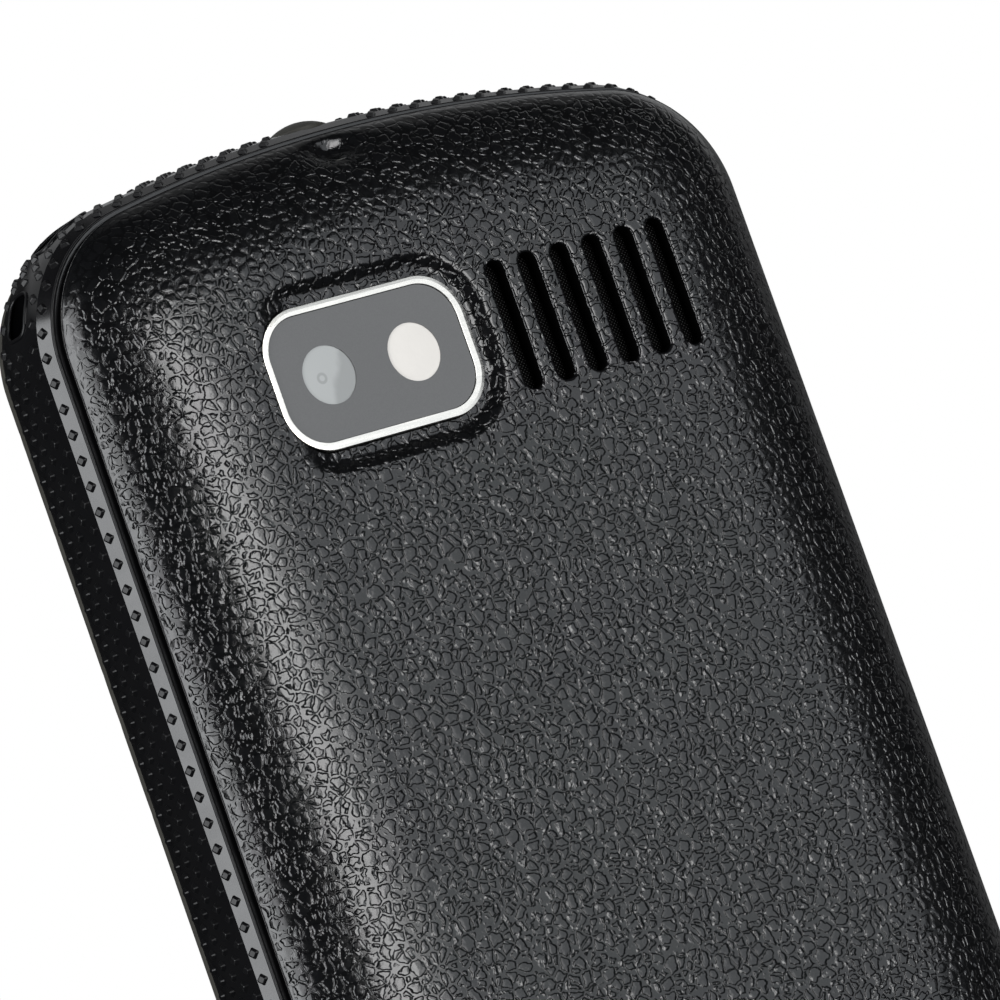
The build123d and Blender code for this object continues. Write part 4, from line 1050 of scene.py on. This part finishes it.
def eyelet_lips(body, band):
    """Rounded lips of the lanyard mouths: a small circle carried round a rounded rectangle on the corner's barrel.

    A point of the rectangle's outline gives the turn round the corner by its first coordinate and the height by its
    second, and the circle leans on the outline's normal and on the way out of the band.
    """
    corner_x = body.half_width - body.corner_radius
    corner_y = -walk(body_loop(body), np.zeros(1))[0][0, 1]
    turn = turns(TUBE_SIDES)
    grids, faces = [], []
    for middle, width in eyelet_mouths(band):
        loop = box_loop(width, band.eyelet_height, band.eyelet_corner, (0.0, 0.0))
        points, normals = points_along(loop, EDGE_STEP)
        flat = points[:, None, :] + normals[:, None, :] * (band.eyelet_lip * np.cos(turn))[None, :, None]
        height = body.widest + flat[..., 1]
        lean = middle + flat[..., 0] / body.corner_radius
        reach = body.corner_radius - band_inset(body, height) + (band.eyelet_lip * np.sin(turn))[None, :]
        grid = np.stack([-corner_x - reach * np.cos(lean), corner_y + reach * np.sin(lean), height], axis=2)
        start = sum(len(g) for g in grids)
        quads = np.array(grid_faces(len(points), len(turn), True, True))[:, ::-1] + start
        grids.append(grid.reshape(-1, 3))
        faces += quads.tolist()
    return np.concatenate(grids), faces


class PHONE_OT_band(bpy.types.Operator):
    """Gloss band with its studs, seam bead and eyelet lips, the top button and the front housing"""

    bl_idname = "phone.band"
    bl_label = "Side band"

    def execute(self, context):
        scene = context.scene
        body, band, colours = scene.phone_body, scene.phone_band, scene.phone_colours
        dress("mid_frame", moulded_plastic(colours, "gloss_black_plastic"), SHARP_FRAME)
        satin = moulded_plastic(colours, "stud_black_plastic")
        add_piece("grip_studs", stud_field(body, band), satin, "chassis", "frame", smooth=False)
        turn = turns(TUBE_SIDES)
        profile = np.column_stack([band.bead_radius * np.cos(turn) - band.bead_inset,
                                   band.bead_radius * np.sin(turn) + band.bead_level])
        add_piece("seam_bead", ring_along(body_loop(body), BEAD_STEP, profile), satin, "chassis", "frame")
        add_piece("eyelet_lips", eyelet_lips(body, band), satin, "chassis", "frame")
        dress("top_button", moulded_plastic(colours, "smooth_black_plastic"))
        dress("front_housing", moulded_plastic(colours, "satin_charcoal_plastic"))
        return {"FINISHED"}


def dress(node, finish, sharp=SHARP_SOLID):
    """Give a CAD node a finish, with smooth shading across the edges that bend by less than a sharp angle."""
    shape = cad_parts[node]
    shape.data.materials.clear()
    shape.data.materials.append(finish)
    shape.data.polygons.foreach_set("use_smooth", np.ones(len(shape.data.polygons), bool))
    weld = shape.modifiers.new("Weld", "WELD")
    weld.merge_threshold = WELD_GAP
    split_edges(shape, sharp)


def disc(middle, radius, level, dome, thickness, fineness):
    """Round port: rings of points on a shallow dome, with an upright side and a flat back.

    The dome falls with the square of the distance from the middle.
    """
    rings, sectors = fineness
    share = np.arange(1, rings + 1) / rings
    turn = turns(sectors)
    reach = np.append(share, 1.0)
    height = np.append(level + dome * (1 - share ** 2), level - thickness)
    x = middle[0] + radius * reach[:, None] * np.cos(turn)
    y = middle[1] + radius * reach[:, None] * np.sin(turn)
    z = np.broadcast_to(height[:, None], x.shape)
    grid = np.stack([x, y, z], axis=2).reshape(-1, 3)
    poles = np.array([[*middle, level + dome], [*middle, level - thickness]])
    around = np.arange(sectors)
    after = (around + 1) % sectors
    top = np.stack([np.full(sectors, len(grid)), around, after], 1)
    last = rings * sectors
    back = np.stack([np.full(sectors, len(grid) + 1), last + after, last + around], 1)
    faces = grid_faces(rings + 1, sectors, False, True) + top.tolist() + back.tolist()
    return np.concatenate([grid, poles]), faces


def rim_ring(window):
    """Silver rim: a section carried round its outline, its opening then moved away from the slots by the lean.

    From the outside the section is a round upper edge, a slope up to the flat top, a small bevel at the opening and
    upright walls.
    """
    low, high = BEZEL_BOX
    outline = rim_outline(window)
    slope = math.atan(window.rim_drop / window.rim_bevel)
    turn = np.linspace(0.0, math.pi / 2 - slope, RIM_ROUND_STEPS)
    bend, ease, inner = window.rim_round, window.rim_round / 2, window.rim_width
    outer = np.column_stack([bend * (np.cos(turn) - 1), high.z - window.rim_drop + bend * (np.sin(turn) - 1)])
    tail = [(-window.rim_bevel, high.z), (-inner + ease, high.z), (-inner, high.z - ease), (-inner, low.z),
            (0.0, low.z)]
    vertices, faces = ring_along(box_loop(*outline), EDGE_STEP, np.concatenate([outer, np.array(tail)]))
    opening = box_distance(vertices[:, :2], *outline) < -(window.rim_bevel + inner) / 2
    vertices[opening, 0] -= window.rim_lean
    return vertices, faces


class PHONE_OT_window(bpy.types.Operator):
    """Camera window: silver rim, grey panel, lens port and flash port"""

    bl_idname = "phone.window"
    bl_label = "Camera window"

    def execute(self, context):
        scene = context.scene
        window, colours = scene.phone_window, scene.phone_colours
        add_piece("camera_rim", rim_ring(window), brushed_metal(colours, "silver_rim"), "chassis", "silver_rim",
                  sharp=SHARP_RIM, replaces=["camera_bezel"])
        width, height, corner, (x, y) = rim_outline(window)
        grow = -2 * (window.rim_width + window.panel_gap)
        field = (width + grow, height + grow, corner + grow / 2, (x - window.rim_lean, y))
        lens, flash, radius = box_middle(LENS_BOX), box_middle(FLASH_BOX), window.port_radius
        ports = [(2 * radius, 2 * radius, radius, port) for port in (lens, flash)]
        panel = panel_shell(field, ports, WINDOW_BOX, window.panel_dome)
        add_piece("camera_panel", panel, printed_panel(colours), "chassis", "camera_panel", sharp=SHARP_PANEL,
                  replaces=["camera_window"])
        level = WINDOW_BOX[1].z - window.port_depth
        thickness = level - WINDOW_BOX[0].z
        discs = (("lens_port", "lens", lens, lens_glass(colours, lens, radius)),
                 ("flash_port", "flash", flash, flash_cover(colours)))
        for name, slot, port, finish in discs:
            shape = disc(port, radius, level, window.panel_dome, thickness, PORT_GRID)
            add_piece(name, shape, finish, "chassis", slot, sharp=SHARP_PANEL)
        return {"FINISHED"}


def panel_shell(field, ports, bounds, dome):
    """Flat panel with round ports: its top is a shallow dome that falls to nothing at its edge.

    The dome is its full rise times 1 less the square of the way across, times 1 less the square of the way along.
    """
    rims = [points_along(box_loop(*shape), EDGE_STEP)[0] for shape in (field, *ports)]
    width, height, _, middle = field
    xs = middle[0] + np.arange(-width / 2, width / 2, PANEL_STEP)
    ys = middle[1] + np.arange(-height / 2, height / 2, PANEL_STEP)
    net = np.stack(pairs(xs, ys), 1)

    def keep(points, margin=0.0):
        inside = box_distance(points, *field) < -margin
        for port in ports:
            inside &= box_distance(points, *port) > margin
        return inside

    def top(points):
        x, y = ((points - np.array(middle)) / np.array([width / 2, height / 2])).T
        return bounds[1].z + dome * np.clip((1 - x ** 2) * (1 - y ** 2), 0.0, 1.0)

    def bottom(points):
        return np.full(len(points), bounds[0].z)

    return shell_between(rims, net[keep(net, PANEL_MARGIN)], keep, top, bottom)


class PHONE_OT_sound(bpy.types.Operator):
    """Fine screens behind the sound slots and the earpiece slot"""

    bl_idname = "phone.sound"
    bl_label = "Sound screens"

    def execute(self, context):
        window = context.scene.phone_window
        screen = dotted_screen(context.scene.phone_colours.screen_mesh, window.screen_pitch, window.screen_dot)
        for node in ("speaker_mesh", "earpiece_mesh"):
            dress(node, screen)
        return {"FINISHED"}


class PHONE_OT_inside(bpy.types.Operator):
    """Finishes of the pieces that show once the cover is off or through an opening"""

    bl_idname = "phone.inside"
    bl_label = "Inside"

    def execute(self, context):
        colours = context.scene.phone_colours
        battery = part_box("battery")
        groups = (
            (brushed_metal(colours, "tinned_steel"),
             ("shield_can_radio", "shield_can_processor", "dome_sheet", "microphone", "sim_holders",
              "memory_card_holder", "usb_socket", "vibration_motor")),
            (brushed_metal(colours, "dark_steel"), ("housing_screws", "vibration_weight")),
            (brushed_metal(colours, "gold_plate"), ("flash_led", "battery_contacts", "antenna")),
            (solder_mask(colours), ("main_board", "camera_board")),
            (rough_rubber(colours),
             ("screen_gasket", "keypad_mat", "microphone_boot", "speaker_gasket", "nav_carrier")),
            (moulded_plastic(colours, "inner_plastic"),
             ("earpiece", "loudspeaker", "camera_module", "battery_connector", "audio_jack", "top_switch")),
            (display_glass(colours, context.scene.phone_front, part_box("display_module")), ("display_module",)),
            (lens_glass(colours, box_middle(LENS_BOX), context.scene.phone_window.port_radius), ("camera_lens",)),
            (flash_cover(colours), ("flash_diffuser",)),
            (battery_sleeve(colours, battery[0].y, battery[1].y), ("battery",)),
        )
        for finish, nodes in groups:
            for node in nodes:
                dress(node, finish)
        return {"FINISHED"}


def on_face(vertices, middle, level):
    """Turn a shape that is drawn face up so that it faces -Z, and set it on a level at a middle point."""
    return np.array([middle[0], middle[1], level]) + vertices * np.array([-1.0, 1.0, -1.0])


def glyph(text, height, thickness):
    """Outline of one character as a thin plate, centred, its capital height along Y."""
    curve = bpy.data.curves.new("glyph", "FONT")
    curve.body = text
    curve.extrude = thickness / height / 2
    shape = bpy.data.objects.new("glyph", curve)
    mesh = bpy.data.meshes.new_from_object(shape)
    points = np.empty(len(mesh.vertices) * 3)
    mesh.vertices.foreach_get("co", points)
    points = points.reshape(-1, 3)
    faces = [tuple(polygon.vertices) for polygon in mesh.polygons]
    capital_share = 0.7
    points -= (points.min(axis=0) + points.max(axis=0)) / 2
    points[:, :2] *= height / capital_share
    points[:, 2] *= height
    bpy.data.objects.remove(shape)
    bpy.data.curves.remove(curve)
    bpy.data.meshes.remove(mesh)
    return points, faces


def bar_plate(centres, normals, half_widths, thickness):
    """Thin closed plate along a line: two edges at the half widths either side, on two levels."""
    half_widths = half_widths[:, None]
    edges = [centres - normals * half_widths, centres + normals * half_widths]
    section = [(edges[0], 0.0), (edges[1], 0.0), (edges[1], thickness), (edges[0], thickness)]
    rows = [np.column_stack([edge, np.full(len(edge), level)]) for edge, level in section]
    grid = np.stack(rows, axis=1)
    faces = grid_faces(len(centres), 4, False, True)
    last = (len(centres) - 1) * 4
    faces += [(3, 2, 1, 0), (last, last + 1, last + 2, last + 3)]
    return grid.reshape(-1, 3), faces


def handset(front, flat):
    """Handset mark: a plate along an arc that widens by a smooth ramp to both ends, leaning or lying flat."""
    share = np.linspace(-1.0, 1.0, HANDSET_STEPS)
    turn = share * front.handset_reach + (0.0 if flat else front.handset_tilt)
    normals = np.column_stack([-np.sin(turn), np.cos(turn)])
    centres = normals * front.handset_radius
    start, end = front.handset_flare
    flare = smooth_step((np.abs(share) - start) / (end - start))
    widths = front.handset_waist + (front.handset_end - front.handset_waist) * flare
    centres = centres - (centres.min(axis=0) + centres.max(axis=0)) / 2
    return bar_plate(centres, normals, widths, front.mark_height)


def dash(front):
    """Straight dash with round ends: its half width follows a circle's root beyond the straight part."""
    half_length, half_width = front.dash_length / 2, front.dash_width / 2
    reach = half_length * np.sin(np.linspace(-math.pi / 2, math.pi / 2, DASH_STEPS))
    blunt = 0.98
    beyond = np.clip((np.abs(reach) - (half_length - half_width)) / half_width, 0.0, blunt)
    widths = half_width * np.sqrt(1 - beyond ** 2)
    centres = np.column_stack([reach, 0 * reach])
    normals = np.broadcast_to(np.array([0.0, 1.0]), centres.shape)
    return bar_plate(centres, normals, widths, front.mark_height)


LEGENDS = {f"key_{digit}": str(digit) for digit in range(10)} | {"key_star": "*", "key_hash": "#"}


class PHONE_OT_front(bpy.types.Operator):
    """Display window, keys and their printed marks"""

    bl_idname = "phone.front"
    bl_label = "Front"

    def execute(self, context):
        scene = context.scene
        front, colours = scene.phone_front, scene.phone_colours
        dress("display_window", display_glass(colours, front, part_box("display_window")))
        satin, white = moulded_plastic(colours, "key_plastic"), moulded_plastic(colours, "printed_white")
        side_keys = ("soft_key_left", "soft_key_right", "call_key", "end_key")
        for node in (*LEGENDS, *side_keys, "ok_key"):
            dress(node, satin)
        dress("nav_ring", brushed_metal(colours, "ring_silver"))

        def mark(node, name, shape, finish, shift=(0.0, 0.0)):
            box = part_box(node)
            middle = box_middle(box)
            vertices = on_face(shape[0], (middle[0] + shift[0], middle[1] + shift[1]), box[0].z)
            add_piece(name, (vertices, shape[1]), finish, node, "keys", smooth=False)

        for node, text in LEGENDS.items():
            mark(node, "legend_" + node, glyph(text, front.digit_height, front.mark_height), white)
        for node in ("soft_key_left", "soft_key_right"):
            mark(node, "dash_" + node, dash(front), white)
        mark("call_key", "call_mark", handset(front, flat=False), moulded_plastic(colours, "printed_green"))
        mark("end_key", "end_mark", handset(front, flat=True), moulded_plastic(colours, "printed_red"))
        rise = front.mark_height
        dark = moulded_plastic(colours, "printed_black")
        dot = disc((0.0, 0.0), front.dot_radius, rise / 2, rise / 2, rise, DOT_GRID)
        for quarter in range(4):
            turn = quarter * math.pi / 2
            shift = (front.dot_circle * math.cos(turn), front.dot_circle * math.sin(turn))
            mark("nav_ring", f"ring_dot_{quarter}", dot, dark, shift)
        mark("ok_key", "ok_mark", disc((0.0, 0.0), front.ok_mark, rise / 2, rise / 2, rise, OK_GRID), white)
        return {"FINISHED"}


class PHONE_OT_stage(bpy.types.Operator):
    """Pale floor, soft studio lights and the camera"""

    bl_idname = "phone.stage"
    bl_label = "Stage"

    def execute(self, context):
        scene = context.scene
        stage = scene.phone_stage
        half, low = stage.floor_half, -stage.floor_drop
        corners = [(-half, -half, low), (half, -half, low), (half, half, low), (-half, half, low)]
        mesh = bpy.data.meshes.new("floor")
        mesh.from_pydata(corners, [], [(0, 1, 2, 3)])
        floor = bpy.data.objects.new("floor", mesh)
        scene.collection.objects.link(floor)
        mesh.materials.append(floor_paint(stage))
        for soft_light in SOFT_LIGHTS:
            soft_box(scene, *soft_light)
        world = bpy.data.worlds.new("studio")
        world.use_nodes = True
        background = world.node_tree.nodes["Background"]
        background.inputs["Color"].default_value = (*stage.world_colour, 1.0)
        scene.world = world
        camera = bpy.data.objects.new("camera", bpy.data.cameras.new("camera"))
        camera.data.lens = stage.focal_share * camera.data.sensor_width
        camera.data.clip_start = stage.near_clip
        camera.location = stage.camera_place
        camera.rotation_euler = stage.camera_turn
        scene.collection.objects.link(camera)
        scene.camera = camera
        scene.view_settings.view_transform = "Standard"
        return {"FINISHED"}


def floor_paint(stage):
    """Pale floor: bright to the camera, dim in the light that it throws back.

    What it throws back grows from one side to the other, and a strip beyond the phone's top edge adds to it.
    """
    finish = Finish("floor_paint", stage.floor_colour, 0.8)
    seen = finish.node("ShaderNodeLightPath")
    glow = finish.node("ShaderNodeEmission", Color=(*stage.floor_colour, 1.0), Strength=1.0)
    across = finish.node("ShaderNodeSeparateXYZ", Vector=finish.millimetres())
    ahead = across.node.outputs[1]
    fading = finish.ramp(ahead, *stage.strip_fall, stage.strip_bounce, 0.0)
    strip = finish.math("MULTIPLY", finish.ramp(ahead, *stage.strip_rise), fading)
    bounce = finish.math("ADD", finish.ramp(across, *stage.floor_fade, *stage.floor_bounce), strip)
    dim = finish.node("ShaderNodeBsdfDiffuse", Color=bounce)
    mixed = finish.node("ShaderNodeMixShader")
    finish.put(mixed.node, 0, seen)
    finish.put(mixed.node, 1, dim)
    finish.put(mixed.node, 2, glow)
    finish.put(finish.tree.nodes["Material Output"], "Surface", mixed)
    return finish.material


# Soft lights: name, degrees from overhead towards +X and +Y, distance, half angles along the two, radiance, tint
SOFT_LIGHTS = (
    ("overhead", 6.0, -1.0, 0.9, 8.0, 23.0, 9.2, (1.0, 1.0, 1.0)),
    ("fade", 19.0, -1.0, 0.9, 6.0, 24.0, 3.0, (0.97, 0.985, 1.0)),
    ("left", -62.0, 18.0, 0.9, 8.5, 36.0, 4.2, (0.96, 0.98, 1.0)),
    ("left_low", -79.0, 18.0, 0.9, 8.5, 36.0, 7.0, (0.96, 0.98, 1.0)),
    ("right", 36.0, 3.0, 1.0, 12.0, 25.0, 1.5, (0.91, 0.955, 1.0)),
)


def soft_box(scene, name, across, along, distance, half_across, half_along, radiance, tint):
    """Rectangular soft light of a given brightness that faces the phone from given angles."""
    back = Vector((math.tan(math.radians(across)), math.tan(math.radians(along)), 1.0)).normalized()
    side = Vector((0.0, 1.0, 0.0)).cross(back).normalized()
    turn = Matrix((side, back.cross(side), back)).transposed()
    light = bpy.data.lights.new(name, "AREA")
    light.shape = "RECTANGLE"
    light.size = 2 * distance * math.tan(math.radians(half_across))
    light.size_y = 2 * distance * math.tan(math.radians(half_along))
    light.energy = radiance * math.pi * light.size * light.size_y
    light.color = tint
    lamp = bpy.data.objects.new(name, light)
    lamp.location = back * distance
    lamp.rotation_euler = turn.to_euler()
    scene.collection.objects.link(lamp)


class PHONE_PT_panel(bpy.types.Panel):
    """Sidebar panel that lists the phone's pieces"""

    bl_idname = "PHONE_PT_panel"
    bl_label = "Phone"
    bl_space_type = "VIEW_3D"
    bl_region_type = "UI"
    bl_category = "Phone"

    def draw(self, context):
        for operator in OPERATORS:
            self.layout.operator(operator.bl_idname)


GROUPS = {
    "phone_body": PhoneBodySizes,
    "phone_cover": PhoneCoverSizes,
    "phone_grain": PhoneGrain,
    "phone_band": PhoneBandSizes,
    "phone_window": PhoneWindowSizes,
    "phone_front": PhoneFrontSizes,
    "phone_colours": PhoneColours,
    "phone_stage": PhoneStage,
}
OPERATORS = (PHONE_OT_cover, PHONE_OT_band, PHONE_OT_window, PHONE_OT_sound, PHONE_OT_inside, PHONE_OT_front,
             PHONE_OT_stage)


def register():
    """Register the sizes, the operators and the panel."""
    for name, group in GROUPS.items():
        bpy.utils.register_class(group)
        setattr(bpy.types.Scene, name, bpy.props.PointerProperty(type=group))
    for entry in (*OPERATORS, PHONE_PT_panel):
        bpy.utils.register_class(entry)


def unregister():
    """Take the panel, the operators and the sizes out again."""
    for entry in (PHONE_PT_panel, *reversed(OPERATORS)):
        bpy.utils.unregister_class(entry)
    for name, group in reversed(GROUPS.items()):
        delattr(bpy.types.Scene, name)
        bpy.utils.unregister_class(group)


def main():
    """Build every piece in order."""
    register()
    bpy.ops.phone.cover()
    bpy.ops.phone.band()
    bpy.ops.phone.window()
    bpy.ops.phone.sound()
    bpy.ops.phone.inside()
    bpy.ops.phone.front()
    bpy.ops.phone.stage()


if __name__ == "__main__":
    main()
